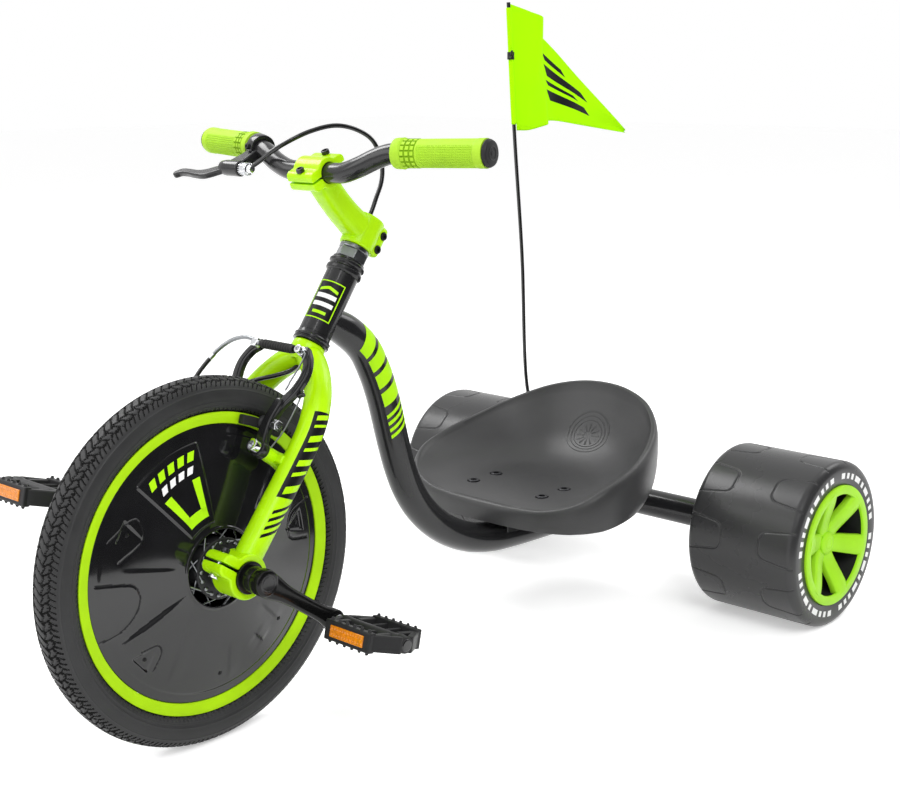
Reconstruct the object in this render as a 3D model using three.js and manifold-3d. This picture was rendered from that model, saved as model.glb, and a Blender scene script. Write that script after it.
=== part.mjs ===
// Drift trike in millimetres. +X is forward, +Y the rider's left and +Z up.
// The origin lies on the floor, midway along the trike and on its centre plane.
import * as THREE from 'three';
import { mergeVertices, mergeGeometries } from 'three/addons/utils/BufferGeometryUtils.js';
import Module from 'manifold-3d';

const wasm = await Module();
wasm.setup();

// Driving dimensions of the whole trike
const wheelbase = 748;
const frontRadius = 198.5;
const rearRadius = 108;
const headAngle = THREE.MathUtils.degToRad(54.5);
const forkLength = 313.2;
const forkOffset = 7.3;
const legSpacing = 122;
const rimOuter = 162.2;
const rimInner = 149.5;
const rimHalf = 15.3;
const rimInnerHalf = 12.2;
const gap = 0.3;
const flagTipX = -197;
const overrun = 4;

// Turned and drawn work
const tyreSides = 32;
const wheelSides = 28;
const rollerSides = 24;
const midSides = 16;
const someSides = 12;
const smallSides = 10;
const tubeSides = 10;
const tubeSteps = 20;
const legSteps = 11;
const barSteps = 22;
const hexSides = 6;

const quarter = Math.PI / 2;
const headSin = Math.sin(headAngle);
const headCos = Math.cos(headAngle);
const headX = wheelbase - forkOffset * headSin - forkLength * headCos;
const headZ = frontRadius - forkOffset * headCos + forkLength * headSin;

// Materials
function paint(color, roughness, metalness) {
  return new THREE.MeshStandardMaterial({ color, roughness, metalness });
}
const limePaint = () => paint(0x8fe000, 0.35, 0.1);
const blackPaint = () => paint(0x17171a, 0.3, 0.3);
const blackPlastic = () => paint(0x1a1a1c, 0.35, 0);
const greyPlastic = () => paint(0x3b3b3d, 0.6, 0);
const rubber = () => paint(0x2a2a2c, 0.8, 0);
const limeRubber = () => paint(0x9be610, 0.6, 0);
const limeCloth = () => paint(0xaaff00, 0.9, 0);
const steel = () => paint(0xb8babd, 0.3, 0.9);
const darkSteel = () => paint(0x2e2e31, 0.45, 0.7);

// Solid helpers
function outward(geometry) {
  const merged = bare(geometry);
  const p = merged.getAttribute('position');
  const index = merged.getIndex().array;
  const a = new THREE.Vector3();
  const b = new THREE.Vector3();
  const c = new THREE.Vector3();
  let volume = 0;
  for (let i = 0; i < index.length; i += 3) {
    a.fromBufferAttribute(p, index[i]);
    b.fromBufferAttribute(p, index[i + 1]);
    c.fromBufferAttribute(p, index[i + 2]);
    volume += a.dot(b.cross(c));
  }
  if (volume < 0) {
    for (let i = 0; i < index.length; i += 3) {
      [index[i], index[i + 1]] = [index[i + 1], index[i]];
    }
  }
  return merged;
}

function bare(geometry) {
  const copy = geometry.clone();
  copy.deleteAttribute('normal');
  copy.deleteAttribute('uv');
  return mergeVertices(copy);
}

function solid(geometry) {
  const closed = outward(geometry);
  return new wasm.Manifold(new wasm.Mesh({
    numProp: 3,
    vertProperties: new Float32Array(closed.getAttribute('position').array),
    triVerts: new Uint32Array(closed.getIndex().array),
  }));
}

function geometryOf(manifold) {
  const mesh = manifold.getMesh();
  const geometry = new THREE.BufferGeometry();
  geometry.setAttribute('position', new THREE.BufferAttribute(new Float32Array(mesh.vertProperties), 3));
  geometry.setIndex(new THREE.BufferAttribute(new Uint32Array(mesh.triVerts), 1));
  return geometry;
}

function joined(...geometries) {
  return geometryOf(geometries.map(solid).reduce((whole, next) => whole.add(next)));
}

function cut(geometry, ...tools) {
  return geometryOf(tools.map(solid).reduce((whole, tool) => whole.subtract(tool), solid(geometry)));
}

function moved(geometry, x, y, z) {
  return geometry.clone().translate(x, y, z);
}

// A rod along Y from y0 to y1
function rodY(radius, y0, y1, sides = smallSides) {
  return new THREE.CylinderGeometry(radius, radius, y1 - y0, sides).translate(0, (y0 + y1) / 2, 0);
}

// A rod along Z from z0 to z1
function rodZ(radius, z0, z1, sides = smallSides) {
  return rodY(radius, z0, z1, sides).rotateX(quarter);
}

// A rod along X from x0 to x1
function rodX(radius, x0, x1, sides = smallSides) {
  return rodY(radius, x0, x1, sides).rotateZ(-quarter);
}

function block(x0, x1, y0, y1, z0, z1) {
  const geometry = new THREE.BoxGeometry(x1 - x0, y1 - y0, z1 - z0);
  return geometry.translate((x0 + x1) / 2, (y0 + y1) / 2, (z0 + z1) / 2);
}

// A turned solid about Y from [radius, y] points; the profile closes on itself or ends on the axis
function turned(points, sides = midSides) {
  const onAxis = points[0][0] === 0;
  const loop = onAxis ? points : [...points, points[0]];
  return new THREE.LatheGeometry(loop.map(([r, y]) => new THREE.Vector2(r, y)), sides);
}

// A turned solid about Z from [radius, z] points
function turnedZ(points, sides = midSides) {
  return turned(points, sides).rotateX(quarter);
}

// A round bar bent through points, which are [x, y, z]
function bentBar(points, radius, sides, steps, bend = 'centripetal') {
  const curve = new THREE.CatmullRomCurve3(points.map((p) => new THREE.Vector3(...p)), false, bend);
  const section = new THREE.Shape();
  for (let i = 0; i < sides; i += 1) {
    const turn = (i / sides) * Math.PI * 2;
    const corner = [radius * Math.cos(turn), radius * Math.sin(turn)];
    if (i === 0) section.moveTo(...corner);
    else section.lineTo(...corner);
  }
  section.closePath();
  return new THREE.ExtrudeGeometry(section, { steps, bevelEnabled: false, extrudePath: curve });
}

// A plate with its outline in X and Z, between y0 and y1
function plateXZ(shape, y0, y1, curveSegments = smallSides / 2) {
  const plate = new THREE.ExtrudeGeometry(shape, { depth: y1 - y0, bevelEnabled: false, curveSegments });
  return plate.rotateX(quarter).translate(0, y1, 0);
}

// A plate with its outline in Y and Z, between x0 and x1
function plateYZ(shape, x0, x1, curveSegments = smallSides / 2) {
  const plate = new THREE.ExtrudeGeometry(shape, { depth: x1 - x0, bevelEnabled: false, curveSegments });
  return plate.rotateX(quarter).rotateZ(quarter).translate(x0, 0, 0);
}

// A bar's flat outline round a chain of points, each with its own half width
function chainShape(points, halfWidths) {
  const shape = new THREE.Shape();
  const left = [];
  const right = [];
  points.forEach(([x, y], i) => {
    const before = points[Math.max(i - 1, 0)];
    const after = points[Math.min(i + 1, points.length - 1)];
    const along = new THREE.Vector2(after[0] - before[0], after[1] - before[1]).normalize();
    const w = halfWidths[i];
    left.push([x - along.y * w, y + along.x * w]);
    right.unshift([x + along.y * w, y - along.x * w]);
  });
  [...left, ...right].forEach((corner, i) => {
    if (i === 0) shape.moveTo(...corner);
    else shape.lineTo(...corner);
  });
  shape.closePath();
  return shape;
}

function mirroredY(geometry) {
  return outward(geometry.clone().scale(1, -1, 1));
}

const trike = new THREE.Group();
trike.position.x = -(wheelbase + frontRadius + flagTipX) / 2;

// Pieces fixed to the frame, measured from the floor under the rear axle
const frame = new THREE.Group();
trike.add(frame);

// Groups whose Z is the head axis and whose X points forward, square to it
function headGroup() {
  const group = new THREE.Group();
  group.position.set(headX, 0, headZ);
  group.rotation.y = headAngle - quarter;
  return group;
}
const head = headGroup();
const steering = headGroup();
trike.add(head, steering);

function piece(parent, name, geometry, material) {
  const mesh = new THREE.Mesh(outward(geometry), material);
  mesh.name = name;
  parent.add(mesh);
  return mesh;
}

// Head tube and headset
const steererRadius = 14.3;
const steererBore = 11.8;
const steererClear = 0.4;
const cupWall = 1.6;
const headTubeWall = 1.9;
const cupBore = steererRadius + steererClear;
const cupSleeve = cupBore + cupWall;
const headBore = cupSleeve + gap;
const headTubeRadius = headBore + headTubeWall;
const headHalf = 37;
const cupLip = 20.8;
const cupSleeveDepth = 12;
const lowerCupHeight = 12;
const upperCupHeight = 18;
const cupNeck = 18.6;
const cupNeckRise = 9;
const cupNeckHeight = 2.5;
const locknutHeight = 12;
const locknutRadius = 18;
const spacerHeight = 5;
const spacerRadius = 17.5;
const clampHeight = 38;

const upperCupTop = headHalf + gap + upperCupHeight;
const locknutTop = upperCupTop + gap + locknutHeight + spacerHeight;
const clampBottom = locknutTop + gap;
const clampTop = clampBottom + clampHeight;
const lowerCupBottom = -headHalf - gap - lowerCupHeight;

function headTube() {
  return turnedZ([
    [headBore, -headHalf], [headTubeRadius, -headHalf], [headTubeRadius, headHalf], [headBore, headHalf],
  ]);
}

function lowerCup() {
  const lipShare = 0.35;
  const top = -headHalf - gap;
  return turnedZ([
    [cupBore, lowerCupBottom], [cupLip, lowerCupBottom], [cupLip, lowerCupBottom + lowerCupHeight * lipShare],
    [headTubeRadius, top], [cupSleeve, top], [cupSleeve, top + cupSleeveDepth], [cupBore, top + cupSleeveDepth],
  ]);
}

function upperCup() {
  const base = headHalf + gap;
  return turnedZ([
    [cupBore, base - cupSleeveDepth], [cupSleeve, base - cupSleeveDepth], [cupSleeve, base],
    [headTubeRadius, base], [cupLip, base + cupNeckHeight], [cupLip, base + cupNeckRise - cupNeckHeight],
    [cupNeck, base + cupNeckRise], [cupNeck, base + cupNeckRise + cupNeckHeight],
    [cupLip, base + cupNeckRise + 2 * cupNeckHeight], [cupNeck, upperCupTop], [cupBore, upperCupTop],
  ]);
}

function locknut() {
  const nut = rodZ(locknutRadius, upperCupTop + gap, upperCupTop + gap + locknutHeight, hexSides);
  const spacer = rodZ(spacerRadius, upperCupTop + gap + locknutHeight - gap, locknutTop, midSides);
  return cut(joined(nut, spacer), rodZ(cupBore, upperCupTop - overrun, locknutTop + overrun, midSides));
}

piece(head, 'frame_head_tube', headTube(), blackPaint());
piece(head, 'headset_cup_lower', lowerCup(), blackPaint());
piece(head, 'headset_cup_upper', upperCup(), blackPaint());
piece(steering, 'headset_locknut', locknut(), steel());

// Main tube: an S from the head tube down and back to the axle tube
const mainTubeRadius = 19.2;
const axleTubeRadius = 19;
const axleTubeWall = 3;
const axleTubeHalf = 168;
const axlePlugDepth = 22;
const axleShoulderRadius = 9;
const axleBoltRadius = 6;
const rollerStandoff = 9.2;
const rollerWidth = 155.7;
const rollerIn = axleTubeHalf + rollerStandoff;
const rollerOut = rollerIn + rollerWidth;
const mainTubeWall = 2.5;
// Shares of the way from the rear axle to the head tube's middle, forward and up
const mainTubeShares = [
  [1.0104, 0.9553], [0.955, 0.9055], [0.9077, 0.8381], [0.8781, 0.7555], [0.8551, 0.6608],
  [0.8388, 0.5691], [0.8242, 0.4829], [0.8067, 0.395], [0.7842, 0.3124], [0.7524, 0.2344],
  [0.7085, 0.1623], [0.6543, 0.1017], [0.5884, 0.0539], [0.5172, 0.0264], [0.4374, 0.0161],
  [0.2856, 0.0088], [0, 0],
];

function axleTube() {
  const bore = axleTubeRadius - axleTubeWall;
  const hole = axleBoltRadius + gap;
  const plug = axleTubeHalf - axlePlugDepth;
  const shoulder = rollerIn - 2 * gap;
  return turned([
    [hole, -shoulder], [axleShoulderRadius, -shoulder], [axleShoulderRadius, -axleTubeHalf],
    [axleTubeRadius, -axleTubeHalf], [axleTubeRadius, axleTubeHalf], [axleShoulderRadius, axleTubeHalf],
    [axleShoulderRadius, shoulder], [hole, shoulder], [hole, plug], [bore, plug], [bore, -plug], [hole, -plug],
  ]).translate(0, 0, rearRadius);
}

const mainTubeRoute = mainTubeShares.map(([fore, up]) => [
  fore * headX, 0, rearRadius + up * (headZ - rearRadius),
]);

function mainTube() {
  const bar = bentBar(mainTubeRoute, mainTubeRadius, tubeSides, tubeSteps);
  const bore = bentBar(mainTubeRoute, mainTubeRadius - mainTubeWall, hexSides, tubeSteps);
  const headClear = rodZ(headTubeRadius + gap, -2 * headHalf, 2 * headHalf, midSides)
    .rotateY(headAngle - quarter).translate(headX, 0, headZ);
  const axleClear = moved(rodY(axleTubeRadius + gap, -axleTubeHalf, axleTubeHalf, midSides), 0, 0, rearRadius);
  const behindAxle = block(-2 * axleTubeRadius, 0, -axleTubeHalf, axleTubeHalf, 0, 2 * rearRadius);
  return cut(bar, bore, headClear, axleClear, behindAxle);
}

piece(frame, 'frame_main_tube', mainTube(), blackPaint());
piece(frame, 'frame_axle_tube', axleTube(), blackPaint());

// Seat: a moulded bucket on a plate welded over the main tube
const seatFloorZ = 174;
const seatFloorWall = 14;
const seatPlateThick = 4;
const seatPlateLength = 84;
const seatPlateWidth = 146;
const seatPlateWeb = 3;
const seatWebSpacing = 46;
const boltX = 233.5;
const boltInsetX = 19.5;
const boltInsetY = 15;
const boltSpacingX = seatPlateLength - 2 * boltInsetX;
const boltSpacingY = seatPlateWidth - 2 * boltInsetY;
const boltRadius = 4;
const boltHeadRadius = 8;
const boltHeadHeight = 3;
const boltNutDrop = 6;
const recessDepth = 3.5;
const recessRadius = 9;
const plateTop = seatFloorZ - recessDepth - seatFloorWall - gap;

const seatBackX = 54;
const seatLength = 254;
const seatHalfWidth = 158;
const seatLowZ = 170.5;
const seatRise = 111.5;
// The rim from the middle of the front edge round the left side to the middle of the back,
// as shares of the seat's length from its back, of its half width and of its rise
const seatRimShares = [
  [1, 0, 0], [0.992, 0.348, 0], [0.969, 0.608, 0.022], [0.902, 0.848, 0.121], [0.78, 0.981, 0.274],
  [0.594, 1, 0.408], [0.378, 0.911, 0.561], [0.201, 0.759, 0.722], [0.071, 0.519, 0.883], [0.012, 0.253, 0.973],
  [0, 0, 1],
];
const seatCentreX = 205;
const seatUnderX = 200;
const seatLipDrop = 12;
const seatLipOut = 6;
const seatSkirtDrop = 36;
const seatSkirtOut = 4;
const seatUnderZ = 141;
const skirtMostShare = 0.85;

function rimCurve() {
  const half = seatRimShares.map(([fore, out, up]) => new THREE.Vector3(
    seatBackX + fore * seatLength, out * seatHalfWidth, seatLowZ + up * seatRise,
  ));
  const other = half.slice(1, -1).reverse().map(({ x, y, z }) => new THREE.Vector3(x, -y, z));
  return new THREE.CatmullRomCurve3([...half, ...other], true, 'centripetal');
}

// A closed skin made of rings of equal point count, shut at each end by a centre point
function ringSkin(rings, first, last) {
  const around = rings[0].length;
  const positions = [...rings.flat(), first, last].flatMap((v) => [v.x, v.y, v.z]);
  const start = rings.length * around;
  const faces = [];
  for (let j = 0; j < around; j += 1) {
    const k = (j + 1) % around;
    faces.push(start, j, k);
    for (let i = 0; i + 1 < rings.length; i += 1) {
      const a = i * around;
      const b = a + around;
      faces.push(a + j, b + j, b + k, a + j, b + k, a + k);
    }
    const outer = (rings.length - 1) * around;
    faces.push(outer + j, start + 1, outer + k);
  }
  const geometry = new THREE.BufferGeometry();
  geometry.setAttribute('position', new THREE.Float32BufferAttribute(positions, 3));
  geometry.setIndex(faces);
  return geometry;
}

function seat() {
  const around = 28;
  const rim = rimCurve().getSpacedPoints(around).slice(0, around);
  const centre = new THREE.Vector3(seatCentreX, 0, seatFloorZ);
  const under = new THREE.Vector3(seatUnderX, 0, seatUnderZ);
  // Shares of the way from the floor's middle to the rim, and of the rim's rise at each
  const floorShares = [[0.28, 0.0], [0.52, 0.06], [0.74, 0.3], [0.9, 0.68], [1, 1]];
  const rings = floorShares.map(([out, rise]) => rim.map((p) => new THREE.Vector3(
    centre.x + (p.x - centre.x) * out, p.y * out, centre.z + (p.z - centre.z) * rise,
  )));
  const outFrom = (p, out, drop) => {
    const away = new THREE.Vector3(p.x - centre.x, p.y, 0).normalize();
    return new THREE.Vector3(p.x + away.x * out, p.y + away.y * out, p.z - drop);
  };
  rings.push(rim.map((p) => outFrom(p, seatLipOut, seatLipDrop)));
  const skirtDrop = (p) => Math.min(seatSkirtDrop, (p.z - seatUnderZ) * skirtMostShare);
  rings.push(rim.map((p) => outFrom(p, seatSkirtOut, skirtDrop(p))));
  // Shares of the way in from the skirt to the underside's middle
  const underShares = [[0.86, 0.55], [0.66, 0.12], [0.3, 0]];
  const skirt = rings[rings.length - 1];
  underShares.forEach(([out, rise]) => rings.push(skirt.map((p) => new THREE.Vector3(
    under.x + (p.x - under.x) * out, p.y * out, under.z + (p.z - under.z) * rise,
  ))));
  return ringSkin(rings, centre, under);
}

const boltPlaces = [
  ['front_left', 1, 1], ['front_right', 1, -1], ['rear_left', -1, 1], ['rear_right', -1, -1],
].map(([name, fore, side]) => [name, boltX + (fore * boltSpacingX) / 2, (side * boltSpacingY) / 2]);

function tubeClearance() {
  return bentBar(mainTubeRoute, mainTubeRadius + gap, tubeSides, tubeSteps);
}

function boredSeat() {
  const tools = boltPlaces.flatMap(([, x, y]) => [
    moved(rodZ(recessRadius, seatFloorZ - recessDepth, seatFloorZ + seatFloorWall), x, y, 0),
    moved(rodZ(boltRadius + gap, seatUnderZ - overrun, seatFloorZ), x, y, 0),
  ]);
  const plateBay = block(boltX - seatPlateLength / 2 - overrun, boltX + seatPlateLength / 2 + overrun,
    -seatPlateWidth / 2 - overrun, seatPlateWidth / 2 + overrun, 0, plateTop + gap);
  return cut(seat(), plateBay, tubeClearance(), ...tools);
}

function seatPlate() {
  const x0 = boltX - seatPlateLength / 2;
  const x1 = boltX + seatPlateLength / 2;
  const plate = block(x0, x1, -seatPlateWidth / 2, seatPlateWidth / 2, plateTop - seatPlateThick, plateTop);
  const webs = [-1, 1].map((side) => block(x0, x1, side * seatWebSpacing / 2 - seatPlateWeb,
    side * seatWebSpacing / 2 + seatPlateWeb, rearRadius, plateTop - seatPlateThick / 2));
  const holes = boltPlaces.map(([, x, y]) => moved(rodZ(boltRadius + gap, 0, seatFloorZ), x, y, 0));
  return cut(joined(plate, ...webs), tubeClearance(), ...holes);
}

function seatBolt(x, y) {
  const headTop = seatFloorZ - recessDepth + gap + boltHeadHeight;
  const headBottom = headTop - boltHeadHeight;
  const nutTop = plateTop - seatPlateThick - gap;
  const bolt = joined(
    rodZ(boltHeadRadius, headBottom, headTop),
    rodZ(boltRadius, nutTop - boltNutDrop, headTop - gap),
    rodZ(boltHeadRadius, nutTop - boltNutDrop, nutTop, hexSides),
  );
  return moved(bolt, x, y, 0);
}

piece(frame, 'seat', boredSeat(), greyPlastic());
piece(frame, 'seat_plate', seatPlate(), blackPaint());
boltPlaces.forEach(([name, x, y]) => piece(frame, `seat_bolt_${name}`, seatBolt(x, y), darkSteel()));

// Rear wheels: a wide roller sleeve on a six-spoke hub that turns on a stub axle
const rollerWall = 6;
const rollerFillet = 10;
const rollerChamferShare = 0.3;
// A flat of the faceted roller, not an edge, stands on the floor
const flatTurn = Math.PI / rollerSides;
const flatGrowth = 1 / Math.cos(Math.PI / rollerSides);
const hubRadius = 78.3;
const hubRingWall = 6.5;
const hubWeb = 6;
const hubRingProud = 2.7;
const spokeCount = 6;
const spokeWidth = 26;
const spokeThick = 9;
const bossRadius = 15;
const bossInset = 14.9;
const bossTop = rollerOut - bossInset;
const bossRecess = 10;
const bossWall = 2.5;
const axleHeadRadius = 10;
const axleHeadHeight = 7;
const hubCapHeight = 5;
const hubCapFlatShare = 0.7;

function rollerSleeve() {
  const inner = hubRadius / flatGrowth + gap;
  const chamfer = rollerFillet * rollerChamferShare;
  return turned([
    [inner, rollerIn], [rearRadius - rollerFillet, rollerIn], [rearRadius - chamfer, rollerIn + chamfer],
    [rearRadius, rollerIn + rollerFillet], [rearRadius, rollerOut - rollerFillet],
    [rearRadius - chamfer, rollerOut - chamfer], [rearRadius - rollerFillet, rollerOut],
    [inner, rollerOut], [inner, rollerOut - rollerWall], [rearRadius - rollerWall, rollerOut - rollerFillet],
    [rearRadius - rollerWall, rollerIn + rollerFillet], [inner, rollerIn + rollerWall],
  ], rollerSides).rotateY(flatTurn).scale(flatGrowth, 1, flatGrowth);
}

// Spokes that slope in from the drum's wall at ringY to the boss at bossY
function spokeStar(ringY, bossY) {
  const reach = hubRadius - hubRingWall / 2;
  const start = bossRadius - bossWall / 2;
  const lean = Math.atan2(ringY - bossY, reach);
  return Array.from({ length: spokeCount }, (_, i) => {
    const end = reach / Math.cos(lean);
    const spoke = block(start, end, -spokeThick / 2, spokeThick / 2, -spokeWidth / 2, spokeWidth / 2);
    return spoke.rotateZ(lean).translate(0, bossY, 0).rotateY((i / spokeCount) * Math.PI * 2);
  });
}

function rearHub() {
  const outerFace = rollerOut + hubRingProud;
  const bore = axleBoltRadius + gap;
  const wallInside = hubRadius - hubRingWall;
  const recessWall = bossRadius - bossWall;
  const drum = turned([
    [bore, rollerIn], [hubRadius, rollerIn], [hubRadius, outerFace], [wallInside, outerFace],
    [wallInside, rollerIn + hubWeb], [bossRadius, rollerIn + hubWeb], [bossRadius, bossTop],
    [recessWall, bossTop], [recessWall, bossTop - bossRecess], [bore, bossTop - bossRecess],
  ], rollerSides).rotateY(flatTurn);
  return joined(drum, ...spokeStar(outerFace - spokeThick, bossTop - spokeThick));
}

function axleBolt() {
  const boltStart = axleTubeHalf - axlePlugDepth;
  const headStart = bossTop - bossRecess + gap;
  const headEnd = headStart + axleHeadHeight;
  return turned([
    [0, boltStart], [axleBoltRadius, boltStart], [axleBoltRadius, headStart],
    [axleHeadRadius, headStart], [axleHeadRadius, headEnd], [0, headEnd],
  ], smallSides);
}

function rearHubCap() {
  const y0 = bossTop + gap;
  return turned([
    [0, y0], [bossRadius, y0], [bossRadius, y0 + hubCapHeight / 2],
    [bossRadius * hubCapFlatShare, y0 + hubCapHeight], [0, y0 + hubCapHeight],
  ], someSides);
}

for (const [side, sign] of [['left', 1], ['right', -1]]) {
  const place = (geometry) => moved(sign > 0 ? geometry : mirroredY(geometry), 0, 0, rearRadius);
  piece(frame, `rear_roller_${side}`, place(rollerSleeve()), greyPlastic());
  piece(frame, `rear_hub_${side}`, place(rearHub()), limePaint());
  piece(frame, `rear_axle_bolt_${side}`, place(axleBolt()), darkSteel());
  piece(frame, `rear_hub_cap_${side}`, place(rearHubCap()), limePaint());
}

// Flag: a bracket on the axle tube's right side holds a whip pole with a folded pennant
const flagInset = 10;
const flagY = flagInset - axleTubeHalf;
const bracketWall = 4;
const bracketWidth = 18;
const socketRadius = 7;
const socketHeight = 30;
const socketLift = 4;
const socketSink = 8;
const poleRadius = 2.6;
const poleFoot = [10, axleTubeRadius + bracketWall + socketLift];
const poleTop = [73.2, 682];
const poleSteps = 14;
const poleBowShares = [[0.3, 0.18], [0.5, 0.47], [0.79, 0.74]];
const clothThick = 1.2;
const clothStand = poleRadius + 2 * gap;
const flyLength = poleTop[0] - clothStand - flagTipX;
const hoistHeight = 170;
const flagDrop = 2;

function flagBracket() {
  const inner = axleTubeRadius + gap;
  const outer = inner + bracketWall;
  const collar = turned([
    [inner, -bracketWidth / 2], [outer, -bracketWidth / 2],
    [outer, bracketWidth / 2], [inner, bracketWidth / 2],
  ]);
  const [footX, footZ] = poleFoot;
  const socket = moved(rodZ(socketRadius, footZ - socketSink, footZ + socketHeight), footX, 0, 0);
  const tubeClear = rodY(inner, -bracketWidth, bracketWidth, midSides);
  const bore = moved(rodZ(poleRadius + 2 * gap, footZ - gap, footZ + 2 * socketHeight), footX, 0, 0);
  return moved(cut(joined(collar, socket), tubeClear, bore), 0, flagY, rearRadius);
}

// The pole's middle line above its socket, bowed forward by the shares above
function poleLine() {
  const [footX, footZ] = poleFoot;
  const [topX, topZ] = poleTop;
  const socketTop = footZ + socketHeight;
  const bow = poleBowShares.map(([out, up]) => [
    footX + (topX - footX) * out, 0, footZ + (topZ - footZ) * up,
  ]);
  const straight = [footZ, socketTop, socketTop + socketHeight].map((z) => [footX, 0, z]);
  return [...straight, ...bow, [topX, 0, topZ]];
}

function flagPole() {
  return moved(bentBar(poleLine(), poleRadius, hexSides, poleSteps), 0, flagY, rearRadius);
}

// The cloth's top and bottom edges and its sideways folds, from the pole to the tip:
// reach as a share of the fly, drop as a share of the hoist, swing as a share of the fly
const topShares = [[0, 0], [0.13, 0.06], [0.24, 0.12], [0.274, 0.24], [0.48, 0.477], [1, 1.045]];
const bottomShares = [[0.058, 1], [0.125, 1], [0.24, 0.965], [0.35, 0.936], [0.588, 0.98], [1, 1.07]];
const swingShares = [0, 0.035, 0.06, -0.045, -0.02, 0];

function flag() {
  const columns = 19;
  const rows = 6;
  const tall = ([reach, drop]) => new THREE.Vector3(-reach * flyLength, 0, -flagDrop - drop * hoistHeight);
  const topEdge = new THREE.CatmullRomCurve3(topShares.map(tall), false, 'centripetal');
  const bottomEdge = new THREE.CatmullRomCurve3(bottomShares.map(tall), false, 'centripetal');
  const swing = (share) => new THREE.Vector3(0, share * flyLength, 0);
  const swings = new THREE.CatmullRomCurve3(swingShares.map(swing));
  const points = (shift) => Array.from({ length: columns * rows }, (_, k) => {
    const along = Math.floor(k / rows) / (columns - 1);
    const down = (k % rows) / (rows - 1);
    const place = topEdge.getPoint(along).lerp(bottomEdge.getPoint(along), down);
    return place.add(new THREE.Vector3(-clothStand, swings.getPoint(along).y + shift, 0));
  });
  const cloth = sheetSolid(points(clothThick / 2), points(-clothThick / 2), columns, rows);
  return moved(cloth, poleTop[0], flagY, rearRadius + poleTop[1]);
}

// Joins two like grids of points into one closed thin solid
function sheetSolid(front, back, columns, rows) {
  const positions = [...front, ...back].flatMap((v) => [v.x, v.y, v.z]);
  const shift = front.length;
  const at = (i, j) => i * rows + j;
  const faces = [];
  for (let i = 0; i + 1 < columns; i += 1) {
    for (let j = 0; j + 1 < rows; j += 1) {
      const [a, b, c, d] = [at(i, j), at(i + 1, j), at(i + 1, j + 1), at(i, j + 1)];
      faces.push(a, b, c, a, c, d, a + shift, c + shift, b + shift, a + shift, d + shift, c + shift);
    }
  }
  const edge = [];
  for (let i = 0; i + 1 < columns; i += 1) edge.push([at(i, 0), at(i + 1, 0)]);
  for (let j = 0; j + 1 < rows; j += 1) edge.push([at(columns - 1, j), at(columns - 1, j + 1)]);
  for (let i = columns - 1; i > 0; i -= 1) edge.push([at(i, rows - 1), at(i - 1, rows - 1)]);
  for (let j = rows - 1; j > 0; j -= 1) edge.push([at(0, j), at(0, j - 1)]);
  edge.forEach(([a, b]) => faces.push(b, a, a + shift, b, a + shift, b + shift));
  const geometry = new THREE.BufferGeometry();
  geometry.setAttribute('position', new THREE.Float32BufferAttribute(positions, 3));
  geometry.setIndex(faces);
  return geometry;
}

piece(frame, 'flag_bracket', flagBracket(), darkSteel());
piece(frame, 'flag_pole', flagPole(), blackPlastic());
piece(frame, 'flag', flag(), limeCloth());

// Fork: steerer, two bent legs, brake bosses, and split clamps that hold the spindle cups
const legRadius = 15;
const legY = legSpacing / 2;
const crownRadius = 19;
const crownTop = lowerCupBottom - gap;
const crownHeight = 22;
const crownBevel = 4;
const clampRadius = 24;
const clampHalfWidth = 15.5;
const cupRadius = 16;
const lugReach = 40;
const lugHalf = 12;
const slit = 3;
const axleZ = -forkLength;
const pivotY = 40;
const pivotRise = 126.2;
const pivotZ = axleZ + pivotRise;
const bossReach = 30;
const brakeBossRadius = 8;
const studRadius = 5;
const studReach = 38;
const boltShank = 2.7;
const boltShankLength = 14;
const legDrop = 12.4;
const legTop = crownTop - legDrop;
// The leg's middle line as shares of the fork's offset, of the half spacing and of the way down to the axle
const legShares = [
  [0, 0.098, 0], [0, 0.328, 0.04], [0, 0.607, 0.112], [0, 0.836, 0.207], [0, 0.975, 0.33], [0.205, 1, 0.51],
  [0.616, 1, 0.729], [1, 1, 0.948],
];

function forkLeg() {
  const route = legShares.map(([fore, out, down]) => [
    fore * forkOffset, out * legY, legTop + down * (axleZ - legTop),
  ]);
  const leg = bentBar(route, legRadius, tubeSides, legSteps);
  const ring = rodY(clampRadius, legY - clampHalfWidth, legY + clampHalfWidth, midSides)
    .translate(forkOffset, 0, axleZ);
  const lug = block(forkOffset, forkOffset + lugReach, legY - clampHalfWidth, legY + clampHalfWidth,
    axleZ - lugHalf, axleZ + lugHalf);
  const boss = rodX(brakeBossRadius, 0, bossReach).translate(0, pivotY, pivotZ);
  const gusset = block(0, bossReach / 2, pivotY - brakeBossRadius / 2, legY,
    pivotZ - brakeBossRadius / 2, pivotZ + brakeBossRadius / 2);
  const stud = rodX(studRadius, bossReach - gap, studReach).translate(0, pivotY, pivotZ);
  return [leg, ring, lug, boss, gusset, stud];
}

function forkLegCuts() {
  const cupClear = rodY(cupRadius + gap, legY - 2 * clampHalfWidth, legY + 2 * clampHalfWidth, midSides)
    .translate(forkOffset, 0, axleZ);
  const slot = block(forkOffset, forkOffset + 2 * lugReach, legY - 2 * clampHalfWidth, legY + 2 * clampHalfWidth,
    axleZ - slit / 2, axleZ + slit / 2);
  const thread = rodX(boltShank + gap, studReach - boltShankLength, studReach + overrun)
    .translate(0, pivotY, pivotZ);
  return [cupClear, slot, thread];
}

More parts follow.
